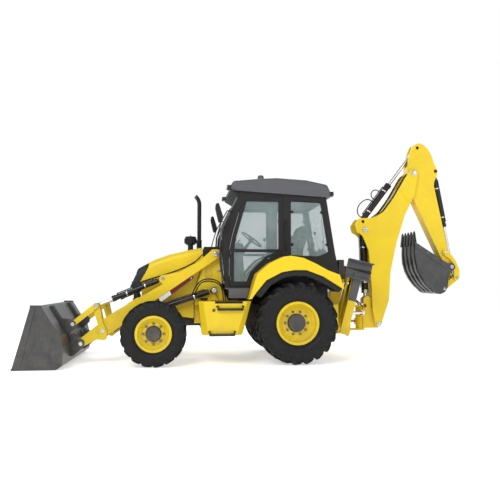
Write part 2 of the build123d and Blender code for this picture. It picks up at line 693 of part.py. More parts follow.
leg_top = stabilizer_up
for side_name, side in sides.items():
    with BuildPart() as leg:
        leg_slab(side, [(-70, -60, 50), (60, -60, 50), (75, 60), (leg_top[0] + 55, leg_top[1] - 60),
                        (leg_top[0] + 55, leg_top[1] + 45, 30), (leg_top[0] - 45, leg_top[1] + 45, 30),
                        (leg_top[0] - 55, leg_top[1] - 60), (20, 420), (-75, 300, 40), (-75, 200, 40)],
                 -leg_half_x, leg_half_x)
        # Slot for the cylinder's eye, and the pivot's bore
        leg_slab(side, [(-300, 100), (0, 100, 20), (22, 330, 20), (22, 460), (-300, 460)], -48, 48,
                 Mode.SUBTRACT)
        leg_disc(side, (0, 0), 35 + running_clearance, -100, 100, Mode.SUBTRACT)
        # Ground pad, folded flat against the leg's outer side
        pad_u, pad_w = leg_top[0] + 10, leg_top[1] + 60
        leg_slab(side, [(pad_u, pad_w - 130), (pad_u, pad_w + 170), (pad_u + 110, pad_w + 170),
                        (pad_u + 110, pad_w + 150), (pad_u + 25, pad_w + 150), (pad_u + 25, pad_w - 110),
                        (pad_u + 110, pad_w - 110), (pad_u + 110, pad_w - 130)], -205, 205)
    finish(leg.part, f"stabilizer_leg_{side_name}")

    rest_span = distance(stabilizer_barrel_pin, stabilizer_rod_pin)
    gland = along(stabilizer_barrel_pin, stabilizer_rod_pin, rest_span - 77)
    with BuildPart() as barrel:
        bar(stabilizer_point(*along(stabilizer_barrel_pin, stabilizer_rod_pin, 45), side),
            stabilizer_point(*gland, side), 42)
        leg_disc(side, stabilizer_barrel_pin, 44, -45, 45)
        leg_disc(side, stabilizer_barrel_pin, 25 + running_clearance, -60, 60, Mode.SUBTRACT)
        bar(stabilizer_point(*along(stabilizer_barrel_pin, stabilizer_rod_pin, 48), side),
            stabilizer_point(*along(stabilizer_barrel_pin, stabilizer_rod_pin, rest_span - 60), side),
            28 + running_clearance, Mode.SUBTRACT)
    finish(barrel.part, f"stabilizer_barrel_{side_name}")

    with BuildPart() as rod:
        bar(stabilizer_point(*along(stabilizer_barrel_pin, stabilizer_rod_pin, 60), side),
            stabilizer_point(*along(stabilizer_barrel_pin, stabilizer_rod_pin, rest_span - 20), side), 28)
        leg_disc(side, stabilizer_rod_pin, 38, -35, 35)
    finish(rod.part, f"stabilizer_rod_{side_name}")

# --- Loader arms, levers and links --------------------------------------------

lever_outer = (arm_outer_y + lever_gap, arm_outer_y + lever_gap + lever_thickness)
lever_inner = (arm_inner_y - lever_gap - lever_thickness, arm_inner_y - lever_gap)
link_inner_y = lever_outer[1] + lever_gap
hub_radius = 40
pin_radius = 30
eye_slot = loader_eye_half_width + joint_clearance

arm_outline = [(2800, 300, 40), (2735, 262, 30), (2502, 375), (2401, 367), (2350, 430), (1626, 975), (943, 1441),
               (640, 1645, 40), (600, 1720, 60), (640, 1782, 50), (740, 1775, 60), (941, 1590), (1247, 1420),
               (1486, 1246), (2237, 808), (2437, 676), (2496, 607), (2795, 365, 30)]

with BuildPart() as arms:
    paired_slabs(arm_outline, arm_inner_y, arm_outer_y)
    # Cheeks on top for the bucket cylinders' bases
    saddle = [(1220, 1425), (1545, 1365, 30), (1570, 1290, 30), (1500, 1225), (1300, 1370)]
    for low, high in ((arm_inner_y, arm_middle_y - eye_slot), (arm_middle_y + eye_slot, arm_outer_y)):
        paired_slabs(saddle, low, high)
    # Slots under the arms for the lift cylinders' eyes
    paired_slabs([(1590, 850), (1590, 1005), (2020, 826, 30), (2088, 808, 30), (2100, 760, 20), (2130, 500)],
                 arm_middle_y - eye_slot, arm_middle_y + eye_slot, Mode.SUBTRACT)
    # Cross tube between the arms
    disc(arm_tube, 50, -arm_inner_y, arm_inner_y)
    # Bores for the pivots
    paired_discs(arm_pivot, 32 + running_clearance, 400, 620, Mode.SUBTRACT)
    paired_discs(bucket_lower_pin, pin_radius + running_clearance, 400, 620, Mode.SUBTRACT)
    paired_discs(lever_pivot, hub_radius + running_clearance, 400, 620, Mode.SUBTRACT)
    # Pins of the bucket cylinders' bases
    paired_discs(tilt_base_pin, 25, arm_inner_y + 5, arm_outer_y - 5)
finish(arms.part, "loader_arms")

with BuildPart() as arm_lock:
    # Service strut stowed under the left arm: a channel that drops over the raised cylinder's rod
    slab([(1037, 1312, 10), (1020, 1350, 10), (1060, 1360.8), (1575, 1009.4), (1545, 935, 10)],
         arm_inner_y + 6, arm_outer_y - 6)
    slab([(980, 1403), (1600, 980), (1560, 860), (960, 1270)], arm_middle_y - 33, arm_middle_y + 33, Mode.SUBTRACT)
finish(arm_lock.part, "arm_lock_strut")

with BuildPart() as bellcrank:
    lever = [(2478, 930, 30), (2560, 930, 30), (2575, 870), (2495, 620), (2485, 520), (2470, 380, 20),
             (2360, 372, 20), (2345, 480), (2415, 640)]
    paired_slabs(lever, *lever_outer)
    paired_slabs([(2478, 930, 30), (2560, 930, 30), (2575, 870), (2495, 620), (2468, 500, 40), (2415, 455, 40),
                  (2362, 500, 40), (2415, 640)], *lever_inner)
    paired_discs(lever_pivot, hub_radius, lever_inner[0], lever_outer[1])
    disc(lever_top_pin, 28, -lever_inner[1], lever_inner[1])
finish(bellcrank.part, "bellcrank")

bucket_pin_radius = 25
with BuildPart() as bucket_links:
    span = distance(bucket_upper_pin, lever_top_pin)
    for low, high in ((link_inner_y, link_inner_y + link_thickness),):
        dx = (lever_top_pin[0] - bucket_upper_pin[0]) / span
        dz = (lever_top_pin[1] - bucket_upper_pin[1]) / span
        w = 38
        outline = [(bucket_upper_pin[0] - w * dx + w * dz, bucket_upper_pin[1] - w * dz - w * dx, 30),
                   (lever_top_pin[0] + w * dx + w * dz, lever_top_pin[1] + w * dz - w * dx, 30),
                   (lever_top_pin[0] + w * dx - w * dz, lever_top_pin[1] + w * dz + w * dx, 30),
                   (bucket_upper_pin[0] - w * dx - w * dz, bucket_upper_pin[1] - w * dz + w * dx, 30)]
        paired_slabs(outline, low, high)
    paired_discs(bucket_upper_pin, bucket_pin_radius + running_clearance, 560, 720, Mode.SUBTRACT)
    paired_discs(lever_top_pin, 34, link_inner_y - 6, link_inner_y)
finish(bucket_links.part, "bucket_links")

with BuildPart() as loader_bucket:
    shell = [(3600, 4), (2980, 4, 60), (2893, 70, 60), (2891, 320, 40), (2930, 490, 40), (3080, 713, 100),
             (3200, 905), (3358, 905)]
    hollow = [(3640, 24), (2985, 24, 50), (2913, 78, 50), (2911, 318, 40), (2949, 484, 40), (3098, 703, 100),
              (3210, 885), (3420, 885)]
    slab(shell, -bucket_half_width, bucket_half_width)
    slab(hollow, -bucket_half_width + bucket_plate, bucket_half_width - bucket_plate, Mode.SUBTRACT)
    # Cutting edge
    block(3480, 3605, -bucket_half_width, bucket_half_width, 4, 29)
    # Lower lugs for the arms, upper lugs for the links
    lower_lug = [(2895, 480), (2895, 130), (2860, 130), (2700, 270, 40), (2690, 360, 40), (2790, 420)]
    upper_lug = [(2910, 455), (2893, 500), (2820, 570, 30), (2812, 650, 30), (2870, 690, 30), (3080, 720),
                 (2925, 480)]
    for low, high in ((arm_inner_y - 6 - ear_thickness, arm_inner_y - 6), (arm_outer_y + 6, arm_outer_y + 6 + 24)):
        paired_slabs(lower_lug, low, high)
    outer_lug_y = link_inner_y + link_thickness + 6
    for low, high in ((link_inner_y - 6 - 18, link_inner_y - 6), (outer_lug_y, outer_lug_y + ear_thickness)):
        paired_slabs(upper_lug, low, high)
    paired_discs(bucket_lower_pin, pin_radius, arm_inner_y - 8, arm_outer_y + 8)
    paired_discs(bucket_upper_pin, bucket_pin_radius, link_inner_y - 8, outer_lug_y + 2)
finish(loader_bucket.part, "loader_bucket")

# Cylinders of the loader: base pin, eye pin, base bore, barrel radius, barrel length, rod radius, rod tail
loader_cylinders = {
    "lift": (lift_base_pin, lift_eye_pin, 28, 44, 1100, 27, 320),
    "tilt": (tilt_base_pin, lever_top_pin, 25, 42, 840, 25, 300),
}


def cylinder_barrel(base, eye, pin, radius, length, rod, y, eye_half_width, neck_length=85):
    """Barrel with its base eye, bored for the rod, at one Y."""
    neck, shoulder, end = along(base, eye, pin), along(base, eye, neck_length), along(base, eye, length)
    bar((neck[0], y, neck[1]), (end[0], y, end[1]), eye_half_width - 2)
    bar((shoulder[0], y, shoulder[1]), (end[0], y, end[1]), radius)
    disc(base, pin + 20, y - eye_half_width, y + eye_half_width)
    disc(base, pin + running_clearance, y - 60, y + 60, Mode.SUBTRACT)
    bore = along(base, eye, pin + 40)
    mouth = along(base, eye, length + 5)
    bar((bore[0], y, bore[1]), (mouth[0], y, mouth[1]), rod + running_clearance, Mode.SUBTRACT)


def cylinder_rod(base, eye, pin, rod, y, tail, eye_half_width):
    """Rod from inside its barrel to its eye, with short pin ends."""
    start = along(base, eye, tail)
    bar((start[0], y, start[1]), (eye[0], y, eye[1]), rod)
    disc(eye, pin + 15, y - eye_half_width + 3, y + eye_half_width - 3)
    disc(eye, pin, y - eye_half_width, y + eye_half_width)


for name, (base, eye, pin, radius, length, rod_radius, tail) in loader_cylinders.items():
    with BuildPart() as barrels:
        for side in sides.values():
            cylinder_barrel(base, eye, pin, radius, length, rod_radius, side * arm_middle_y, loader_eye_half_width)
    finish(barrels.part, f"{name}_barrels")
    with BuildPart() as rods:
        for side in sides.values():
            cylinder_rod(base, eye, 22, rod_radius, side * arm_middle_y, tail, loader_eye_half_width)
    finish(rods.part, f"{name}_rods")

# --- Digging arm --------------------------------------------------------------

post_half = 95
with BuildPart() as swing_post:
    bar((swing_axis_x, 0, swing_hub_low), (swing_axis_x, 0, swing_hub_high), 80)
    slab([(-1870, 480), (-2132, 480), (-2190, 545, 50), (-2132, 620, 40), (-2030, 700), (-2010, 830),
          (-1870, 830)], -post_half, post_half)
    disc(boom_foot_pin, 38, -boom_half_width - 6, boom_half_width + 6)
    # Hollow between the ears, so that the boom cylinder's eye can drop
    slab([(-2250, 770), (-1948, 770), (-1948, 860), (-2250, 860)], -digging_eye_half_width - 8,
         digging_eye_half_width + 8, Mode.SUBTRACT)
    # Ears for the boom cylinder's rod
    for low, high in ((-post_half, -digging_eye_half_width - 8), (digging_eye_half_width + 8, post_half)):
        slab([(-1935, 780), (-2010, 780), (-2020, 1000, 60), (-1946, 1035, 60), (-1885, 980, 50), (-1890, 890),
              (-1935, 890)], low, high)
    for mode_z in (swing_hub_low, swing_hub_high):
        z0, z1 = (mode_z - 30, mode_z + 92) if mode_z == swing_hub_low else (mode_z - 92, mode_z + 30)
        bar((swing_axis_x, 0, z0), (swing_axis_x, 0, z1), 35 + running_clearance, Mode.SUBTRACT)
    # Lugs above and below each swing rod's eye
    for side_name, side in sides.items():
        for offset_z in (-58, 34):
            z = swing_lug_z[side_name] + offset_z
            block(swing_axis_x - 50, swing_axis_x + 50, *sorted((side * 60, side * (swing_cylinder_y + 40))), z, z + 24)
finish(swing_post.part, "swing_post")

with BuildPart() as swing_barrels:
    for side_name, side in sides.items():
        z = swing_lug_z[side_name]
        bar((-1150, side * swing_cylinder_y, z), (-1600, side * swing_cylinder_y, z), swing_cylinder_radius)
        bar((-1180, side * swing_cylinder_y, z), (-1610, side * swing_cylinder_y, z), 28 + running_clearance,
            Mode.SUBTRACT)
finish(swing_barrels.part, "swing_barrels")

for side_name, side in sides.items():
    z = swing_lug_z[side_name]
    with BuildPart() as swing_rod:
        bar((-1395, side * swing_cylinder_y, z), (swing_axis_x, side * swing_cylinder_y, z), 28)
        bar((swing_axis_x, side * swing_cylinder_y, z - 29), (swing_axis_x, side * swing_cylinder_y, z + 29), 38)
    finish(swing_rod.part, f"swing_rod_{side_name}")

boom_outline = [(-2190, 560, 60), (-2132, 480, 60), (-2070, 545, 60), (-2025, 800), (-2021, 1058), (-2000, 1444),
                (-1969, 1808, 300), (-1861, 2075, 200), (-1760, 2130, 60), (-1730, 2240, 60), (-1800, 2360, 60),
                (-2066, 2370, 200), (-2244, 2480, 200), (-2424, 2718), (-2700, 3180, 70), (-2801, 3250, 70),
                (-2880, 3167, 70), (-2810, 2790), (-2622, 2425), (-2462, 1931, 800), (-2351, 1444, 800),
                (-2318, 959), (-2200, 620)]
boom_gap = boom_half_width - boom_plate

with BuildPart() as boom:
    slab(boom_outline, -boom_half_width, boom_half_width)
    # Fork at the foot, slot for the two cylinders in the lug, fork at the head
    slab([(-1980, 400), (-2300, 400), (-2300, 560), (-2260, 780, 150), (-2132, 830, 100), (-1980, 800)],
         -boom_gap, boom_gap, Mode.SUBTRACT)
    slab([(-1600, 1650), (-1975, 1650), (-2010, 1850), (-1990, 2200, 80), (-2040, 2330), (-2080, 2450),
          (-1600, 2500)], -boom_gap, boom_gap, Mode.SUBTRACT)
    slab([(-2550, 3400), (-2460, 2960), (-2560, 2860, 60), (-2735, 2800, 80), (-2755, 2660), (-3000, 2660),
          (-3000, 3400)],
         -boom_gap, boom_gap, Mode.SUBTRACT)
    slab([(-1600, 1350), (-2012, 1350), (-2012, 1900), (-1600, 1900)], -68, 68, Mode.SUBTRACT)
    disc(boom_foot_pin, 38 + running_clearance, -200, 200, Mode.SUBTRACT)
    disc(boom_barrel_pin, 32, -boom_half_width - 6, boom_half_width + 6)
    disc(dipper_barrel_pin, 30, -boom_half_width + 5, boom_half_width - 5)
    disc(dipper_pivot, 38, -boom_half_width - 6, boom_half_width + 6)
finish(boom.part, "boom")

dipper_outline = [(-2813, 3666, 60), (-2756, 3520), (-2719, 3386), (-2705, 3120, 80), (-2786, 2880, 60),
                  (-2800, 2730, 60), (-2903, 2510), (-3270, 1728), (-3405, 1490, 60), (-3456, 1465, 60),
                  (-3516, 1500, 60), (-3510, 1570, 40), (-3417, 1814), (-3183, 2957), (-3190, 3030), (-3245, 3150, 50),
                  (-3255, 3230, 50), (-3192, 3355, 100), (-3155, 3481, 200), (-3101, 3588, 200),
                  (-3018, 3676, 100), (-2925, 3716, 100)]
dipper_slot = digging_eye_half_width + 2 * joint_clearance

with BuildPart() as dipper:
    slab(dipper_outline, -dipper_half_width, dipper_half_width)
    # Slot for the dipper cylinder's eye, and for the bucket cylinder's base
    slab([(-2500, 3250), (-2770, 3300, 60), (-2950, 3420, 60), (-3042, 3560, 60), (-3042, 3900), (-2500, 3900)],
         -dipper_slot, dipper_slot, Mode.SUBTRACT)
    slab([(-3400, 3330), (-3160, 3300, 40), (-3130, 3200, 40), (-3140, 2950), (-3400, 2900)],
         -dipper_slot, dipper_slot, Mode.SUBTRACT)
    # Forked tip that lets the bucket cylinder's rod pass over the bucket's pin
    slab([(-3300, 1400), (-3330, 1560, 60), (-3420, 1700, 60), (-3600, 1800), (-3600, 1400)],
         -dipper_slot, dipper_slot, Mode.SUBTRACT)
    disc(dipper_pivot, 38 + running_clearance, -200, 200, Mode.SUBTRACT)
    disc(dig_bucket_pivot, 32 + running_clearance, -200, 200, Mode.SUBTRACT)
    disc(rocker_pivot, 30, -dipper_half_width - rocker_thickness - 12, dipper_half_width + rocker_thickness + 12)
    disc(dig_barrel_pin, 30, -dipper_half_width - 4, dipper_half_width + 4)
finish(dipper.part, "dipper")

link_y = (digging_eye_half_width + 12, dipper_half_width - 5)
rocker_y = (dipper_half_width + 6, dipper_half_width + 6 + rocker_thickness)
with BuildPart() as rocker:
    paired_slabs([(-3320, 1830, 40), (-3300, 1760, 40), (-3350, 1720, 40), (-3440, 1660, 80), (-3500, 1570, 60),
                  (-3515, 1300, 40), (-3560, 1290, 40), (-3605, 1330, 60), (-3605, 1480, 120), (-3540, 1640, 150),
                  (-3420, 1800, 100)], *rocker_y)
    paired_discs(rocker_pivot, 30 + running_clearance, 90, 160, Mode.SUBTRACT)
    paired_discs(rocker_end_pin, 26, link_y[1] + 3, rocker_y[1])
finish(rocker.part, "rocker")

with BuildPart() as dig_link:
    dx = (dig_link_pin[0] - rocker_end_pin[0]) / distance(rocker_end_pin, dig_link_pin)
    dz = (dig_link_pin[1] - rocker_end_pin[1]) / distance(rocker_end_pin, dig_link_pin)
    w = 45
    outline = [(rocker_end_pin[0] - w * dx - w * dz, rocker_end_pin[1] - w * dz + w * dx, 45),
               (dig_link_pin[0] + w * dx - w * dz, dig_link_pin[1] + w * dz + w * dx, 45),
               (dig_link_pin[0] + w * dx + w * dz, dig_link_pin[1] + w * dz - w * dx, 45),
               (rocker_end_pin[0] - w * dx + w * dz, rocker_end_pin[1] - w * dz - w * dx, 45)]
    paired_slabs(outline, *link_y)
    paired_discs(dig_link_pin, 26 + running_clearance, 0, 200, Mode.SUBTRACT)
    paired_discs(rocker_end_pin, 26, link_y[0] - 5, link_y[1])
finish(dig_link.part, "dig_link")

with BuildPart() as dig_bucket:
    shell = [(-2735, 1950), (-2729, 1750, 200), (-2774, 1464, 300), (-2917, 1223, 300), (-3100, 1062, 200),
             (-3180, 1066, 60), (-3345, 1450, 60), (-3360, 1555)]
    hollow = [(-2752, 2010), (-2745, 1750, 200), (-2789, 1470, 290), (-2928, 1236, 290), (-3105, 1080, 190),
              (-3170, 1083, 50), (-3328, 1453, 60), (-3340, 1650)]
    slab(shell, -dig_bucket_half_width, dig_bucket_half_width)
    slab(hollow, -dig_bucket_half_width + dig_bucket_plate, dig_bucket_half_width - dig_bucket_plate, Mode.SUBTRACT)
    # Ears for the dipper's tip and the link
    ear_y = rocker_y[1] + 6
    ear = [(-3355, 1556), (-3391, 1595, 30), (-3480, 1600, 50), (-3530, 1520, 50), (-3400, 1400, 200),
           (-3370, 1170, 40), (-3320, 1090, 40), (-3240, 1056), (-3150, 1062), (-3340, 1430)]
    paired_slabs(ear, ear_y, ear_y + ear_thickness)
    disc(dig_bucket_pivot, 32, -ear_y - ear_thickness, ear_y + ear_thickness)
    # Stub pins of the link's end
    paired_discs(dig_link_pin, 26, link_y[0] + 2, ear_y + ear_thickness)
    # Five teeth on the lip
    for place in range(5):
        y = (place - 2) * (2 * dig_bucket_half_width - 90) / 4
        slab([(-2710, 1900), (-2728, 2099), (-2746, 2099), (-2765, 1900)], y - 28, y + 28)
finish(dig_bucket.part, "dig_bucket")

# Cylinders of the digging arm: base, eye, base bore, eye pin, barrel radius, length, rod radius, tail
digging_cylinders = {
    "boom": (boom_barrel_pin, boom_rod_pin, 32, 30, 60, 1090, 34, 130),
    "dipper": (dipper_barrel_pin, dipper_rod_pin, 30, 28, 52, 851, 32, 790),
    "dig": (dig_barrel_pin, rocker_end_pin, 30, 26.5, 44, 993, 27, 905),
}
for name, (base, eye, pin, eye_pin, radius, length, rod_radius, tail) in digging_cylinders.items():
    with BuildPart() as barrel:
        cylinder_barrel(base, eye, pin, radius, length, rod_radius, 0, digging_eye_half_width)
    finish(barrel.part, f"{name}_barrel")
    with BuildPart() as rod:
        cylinder_rod(base, eye, eye_pin, rod_radius, 0, tail, digging_eye_half_width)
    finish(rod.part, f"{name}_rod")

# --- Lamps and mirrors --------------------------------------------------------

with BuildPart() as lamps:
    for side in sides.values():
        block(444, 505, *sorted((side * 560, side * 700)), 2735, 2800)
        block(-1215, -1150.3, *sorted((side * 560, side * 700)), 2650, 2720)
        # Tail lamps behind the fenders
        block(-1374, -1290.3, *sorted((side * 560, side * 715)), 1390, 1620)
finish(lamps.part, "lamps")
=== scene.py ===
"""Backhoe loader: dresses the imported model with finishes, small parts and a studio."""

import math

import bmesh
import bpy
from mathutils import Matrix, Vector


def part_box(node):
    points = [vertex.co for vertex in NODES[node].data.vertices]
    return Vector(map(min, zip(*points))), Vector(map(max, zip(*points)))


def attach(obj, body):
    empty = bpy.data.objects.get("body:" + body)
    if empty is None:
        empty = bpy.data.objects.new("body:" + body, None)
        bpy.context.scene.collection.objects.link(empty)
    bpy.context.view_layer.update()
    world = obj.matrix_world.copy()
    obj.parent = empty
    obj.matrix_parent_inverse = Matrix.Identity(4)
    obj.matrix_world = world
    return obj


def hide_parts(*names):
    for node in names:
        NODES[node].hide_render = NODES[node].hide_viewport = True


bl_info = {
    "name": "Backhoe Loader",
    "version": (1, 0, 0),
    "blender": (4, 5, 0),
    "location": "View3D > Sidebar > Loader",
    "description": "Finishes, fittings and studio of a backhoe loader",
    "category": "Object",
}

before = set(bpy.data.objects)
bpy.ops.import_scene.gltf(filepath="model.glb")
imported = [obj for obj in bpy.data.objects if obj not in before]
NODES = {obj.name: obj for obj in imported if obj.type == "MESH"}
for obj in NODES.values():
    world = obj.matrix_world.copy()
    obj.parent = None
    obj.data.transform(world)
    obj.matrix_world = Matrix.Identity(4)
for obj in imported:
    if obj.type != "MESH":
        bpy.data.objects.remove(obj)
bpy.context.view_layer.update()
SIDES = {"left": 1, "right": -1}


# --- Shader expressions -------------------------------------------------------


class Wire:
    """A node socket that can be used in Python expressions."""

    def __init__(self, shader, socket):
        self.shader, self.socket = shader, socket

    def math(self, operation, other=None, swapped=False):
        values = [self] if other is None else ([other, self] if swapped else [self, other])
        return self.shader.node("ShaderNodeMath", {"operation": operation}, dict(enumerate(values)))

    def __add__(self, other):
        return self.math("ADD", other)

    def __sub__(self, other):
        return self.math("SUBTRACT", other)

    def __mul__(self, other):
        return self.math("MULTIPLY", other)

    def __pow__(self, other):
        return self.math("POWER", other)

    def __gt__(self, other):
        return self.math("GREATER_THAN", other)

    def __lt__(self, other):
        return self.math("LESS_THAN", other)

    def __rsub__(self, other):
        return self.math("SUBTRACT", other, swapped=True)

    __radd__, __rmul__ = __add__, __mul__

    def held(self):
        """The value clamped between nought and one."""
        return self.shader.node("ShaderNodeClamp", {}, {"Value": self})

    def step(self, low, high):
        """Nought below low, one above high, smooth between them."""
        return self.shader.node(
            "ShaderNodeMapRange", {"interpolation_type": "SMOOTHSTEP"},
            {"Value": self, "From Min": low, "From Max": high})


class Shader:
    """Builds one material from wires."""

    def __init__(self, name):
        self.material = bpy.data.materials.new(name)
        self.material.use_nodes = True
        self.tree = self.material.node_tree
        self.surface = self.tree.nodes["Principled BSDF"]
        self.place = self.node("ShaderNodeTexCoord", {}, {}, "Object")
        split = self.node("ShaderNodeSeparateXYZ", {}, {"Vector": self.place}, None)
        self.x, self.y, self.z = (Wire(self, split.outputs[axis]) for axis in "XYZ")

    def node(self, kind, settings, values, output=0):
        """A node with its settings made first, then its sockets' values or links."""
        made = self.tree.nodes.new(kind)
        for key, value in settings.items():
            setattr(made, key, value)
        for key, value in values.items():
            if isinstance(value, Wire):
                self.tree.links.new(value.socket, made.inputs[key])
            else:
                made.inputs[key].default_value = value
        return made if output is None else Wire(self, made.outputs[output])

    def fill(self, socket, value):
        """Links a wire to a socket, or writes a number or a colour into it."""
        if isinstance(value, Wire):
            self.tree.links.new(value.socket, socket)
        else:
            socket.default_value = (*value[:3], 1.0) if hasattr(value, "__len__") else value

    def noise(self, scale, detail=3.0, roughness=0.55, place=None):
        return self.node("ShaderNodeTexNoise", {},
                         {"Vector": place or self.place, "Scale": scale, "Detail": detail,
                          "Roughness": roughness}, "Fac")

    def grain(self, scale):
        return self.node("ShaderNodeTexVoronoi", {}, {"Vector": self.place, "Scale": scale}, "Distance")

    def stretched(self, scale_x, scale_y, scale_z):
        return self.node("ShaderNodeVectorMath", {"operation": "MULTIPLY"},
                         {0: self.place, 1: (scale_x, scale_y, scale_z)})

    def blend(self, share, first, second):
        """First colour where share is nought, second where it is one."""
        mixed = self.tree.nodes.new("ShaderNodeMix")
        mixed.data_type = "RGBA"
        for socket, value in ((mixed.inputs[0], share), (mixed.inputs[6], first), (mixed.inputs[7], second)):
            self.fill(socket, value)
        return Wire(self, mixed.outputs[2])

    def bump(self, height, strength, distance=0.002):
        return self.node("ShaderNodeBump", {}, {"Height": height, "Strength": strength, "Distance": distance},
                         "Normal")

    def set(self, **values):
        """Links or fills the surface's sockets; underscores stand for spaces."""
        for key, value in values.items():
            self.fill(self.surface.inputs[key.replace("_", " ")], value)
        return self.material


DUST = (0.26, 0.21, 0.13)


def shade(colour, share):
    """A colour made darker or lighter."""
    return tuple(c * share for c in colour)


def beyond(s, y):
    """One outside a distance from the machine's middle, on both sides."""
    return (s.y > y) + (s.y < -y)


def from_axis(s, x, z):
    """Distance from a line along Y through a place in X and Z, as a wire."""
    across, up = s.x - x, s.z - z
    return (across * across + up * up) ** 0.5


def dirt(shader, amount):
    """Dust that gathers low on the machine, broken up by noise."""
    low = 1 - shader.z.step(0.0, 1.3)
    return ((shader.noise(6.0, 5.0) * 1.4 - 0.45) * (low + 0.25) * amount).held()


def painted(name, colour, roughness=0.32, dust=0.35, texture=0.04, scuffs=0.0, coat=0.1, zones=()):
    """Sprayed enamel with orange peel, slight fading and dust; a zone is a second colour and where it lies."""
    s = Shader(name)
    fade = s.noise(2.2, 4.0).step(0.35, 0.7)
    base = s.blend(fade * 0.35, colour, shade(colour, 0.82))
    for second, lies in zones:
        base = s.blend(lies(s), base, second)
    soil = dirt(s, dust)
    base = s.blend(soil, base, DUST)
    if scuffs:
        worn = (s.noise(38.0, 6.0, 0.75).step(0.62, 0.72) * s.noise(3.0).step(0.5, 0.65) * scuffs).held()
        base = s.blend(worn, base, (0.30, 0.29, 0.28))
    peel = s.noise(420.0, 2.0)
    rough = (s.noise(9.0, 4.0) * 0.16 + roughness + soil * 0.4).held()
    return s.set(Base_Color=base, Roughness=rough, Metallic=0.0, Coat_Weight=coat, Coat_Roughness=0.12,
                 Specular_IOR_Level=0.3, Normal=s.bump(peel, texture, 0.001))


def steel_grey(name, colour=(0.05, 0.05, 0.052), zones=()):
    """Dark sprayed steel of the buckets, with scratches that run down the wall."""
    s = Shader(name)
    streaks = s.noise(9.0, 6.0, 0.7, s.stretched(1.0, 6.0, 0.6))
    scratches = s.noise(60.0, 5.0, 0.8, s.stretched(0.3, 3.0, 1.0)).step(0.58, 0.72)
    base = s.blend(streaks.step(0.3, 0.7) * 0.5, colour, shade(colour, 1.9))
    base = s.blend(scratches * 0.35, base, (0.22, 0.22, 0.22))
    for second, lies in zones:
        base = s.blend(lies(s), base, second)
    base = s.blend(dirt(s, 0.3), base, DUST)
    rough = (streaks * 0.25 + 0.28).held()
    return s.set(Base_Color=base, Roughness=rough, Metallic=0.55, Coat_Weight=0.1,
                 Normal=s.bump(scratches, 0.12, 0.001))


def plated(name, bright=(0.78, 0.79, 0.80), eye=None, reach=0.052):
    """Hard chrome with fine polish marks; a rod's eye, at an (x, z) place, is enamelled black."""
    s = Shader(name)
    marks = s.noise(240.0, 3.0)
    base = s.blend(marks * 0.4, bright, shade(bright, 0.7))
    rough, metal = (marks * 0.12 + 0.12).held(), 1.0
    if eye:
        enamel = from_axis(s, *eye) < reach
        base = s.blend(enamel, base, (0.012, 0.012, 0.013))
        rough, metal = (rough + enamel * 0.15).held(), 1 - enamel
    return s.set(Base_Color=base, Roughness=rough, Metallic=metal)


def rubber(name, centre, outer):
    """Tyre rubber: polished sidewall rings, dusty tread."""
    s = Shader(name)
    radius = from_axis(s, centre[0], centre[2])
    tread = radius.step(outer * 0.86, outer * 0.97)
    ring = (radius * 420.0).math("SINE")
    ring = (ring * 0.5 + 0.5) * (1 - radius.step(outer * 0.70, outer * 0.78))
    mottled = s.noise(30.0, 5.0)
    base = s.blend(mottled * 0.6, (0.007, 0.007, 0.008), (0.018, 0.018, 0.017))
    base = s.blend((s.noise(12.0, 5.0).step(0.45, 0.8) * (tread * 0.3 + 0.08)).held(), base, (0.08, 0.075, 0.065))
    rough = (mottled * 0.2 + 0.42 + tread * 0.2).held()
    return s.set(Base_Color=base, Roughness=rough, Specular_IOR_Level=0.22,
                 Normal=s.bump(ring * 0.5 + mottled * 0.35, 0.25, 0.002))


def pane(name):
    """Tinted safety glass with a slight dusty haze in patches."""
    s = Shader(name)
    haze = s.noise(3.0, 4.0).step(0.3, 0.8)
    return s.set(Base_Color=s.blend(haze, (0.30, 0.40, 0.40), (0.40, 0.48, 0.48)), Roughness=(haze * 0.05 + 0.02),
                 Alpha=(haze * 0.06 + 0.27).held(), IOR=1.45, Coat_Weight=0.6, Coat_Roughness=0.02)


def moulded(name, colour, roughness=0.55, grain=0.2, scale=900.0):
    """Grained plastic or rubber moulding."""
    s = Shader(name)
    skin = s.grain(scale)
    base = s.blend(s.noise(14.0, 4.0) * 0.5, colour, shade(colour, 1.5))
    return s.set(Base_Color=base, Roughness=(s.noise(25.0) * 0.2 + roughness).held(), Specular_IOR_Level=0.3,
                 Normal=s.bump(skin, grain, 0.0008))


def woven(name, colour):
    """Seat cloth with a fine basket weave."""
    s = Shader(name)
    warp = ((s.x + s.z * 0.35) * 1900.0).math("SINE")
    weft = (s.y * 1900.0).math("SINE")
    weave = warp * weft
    base = s.blend((weave * 0.5 + 0.5).held(), shade(colour, 0.6), colour)
    return s.set(Base_Color=base, Roughness=0.9, Sheen_Weight=0.2, Normal=s.bump(weave, 0.35, 0.001))


def cast(name, colour=(0.035, 0.035, 0.036)):
    """Rough painted casting with oil stains."""
    s = Shader(name)
    pits = s.noise(160.0, 4.0)
    stain = s.noise(5.0, 5.0).step(0.45, 0.7)
    base = s.blend(stain * 0.6, colour, shade(colour, 2.2))
    base = s.blend(dirt(s, 0.7), base, DUST)
    return s.set(Base_Color=base, Roughness=(0.5 + stain * 0.25).held(), Metallic=0.3, Normal=s.bump(pits, 0.4, 0.001))


def lens(name, colour):
    """Ribbed lamp lens."""
    s = Shader(name)
    ribs = (s.y * 900.0).math("SINE")
    return s.set(Base_Color=s.blend((ribs * 0.5 + 0.5).held() * 0.4, colour, shade(colour, 0.7)),
                 Roughness=0.12, Normal=s.bump(ribs, 0.4, 0.002))


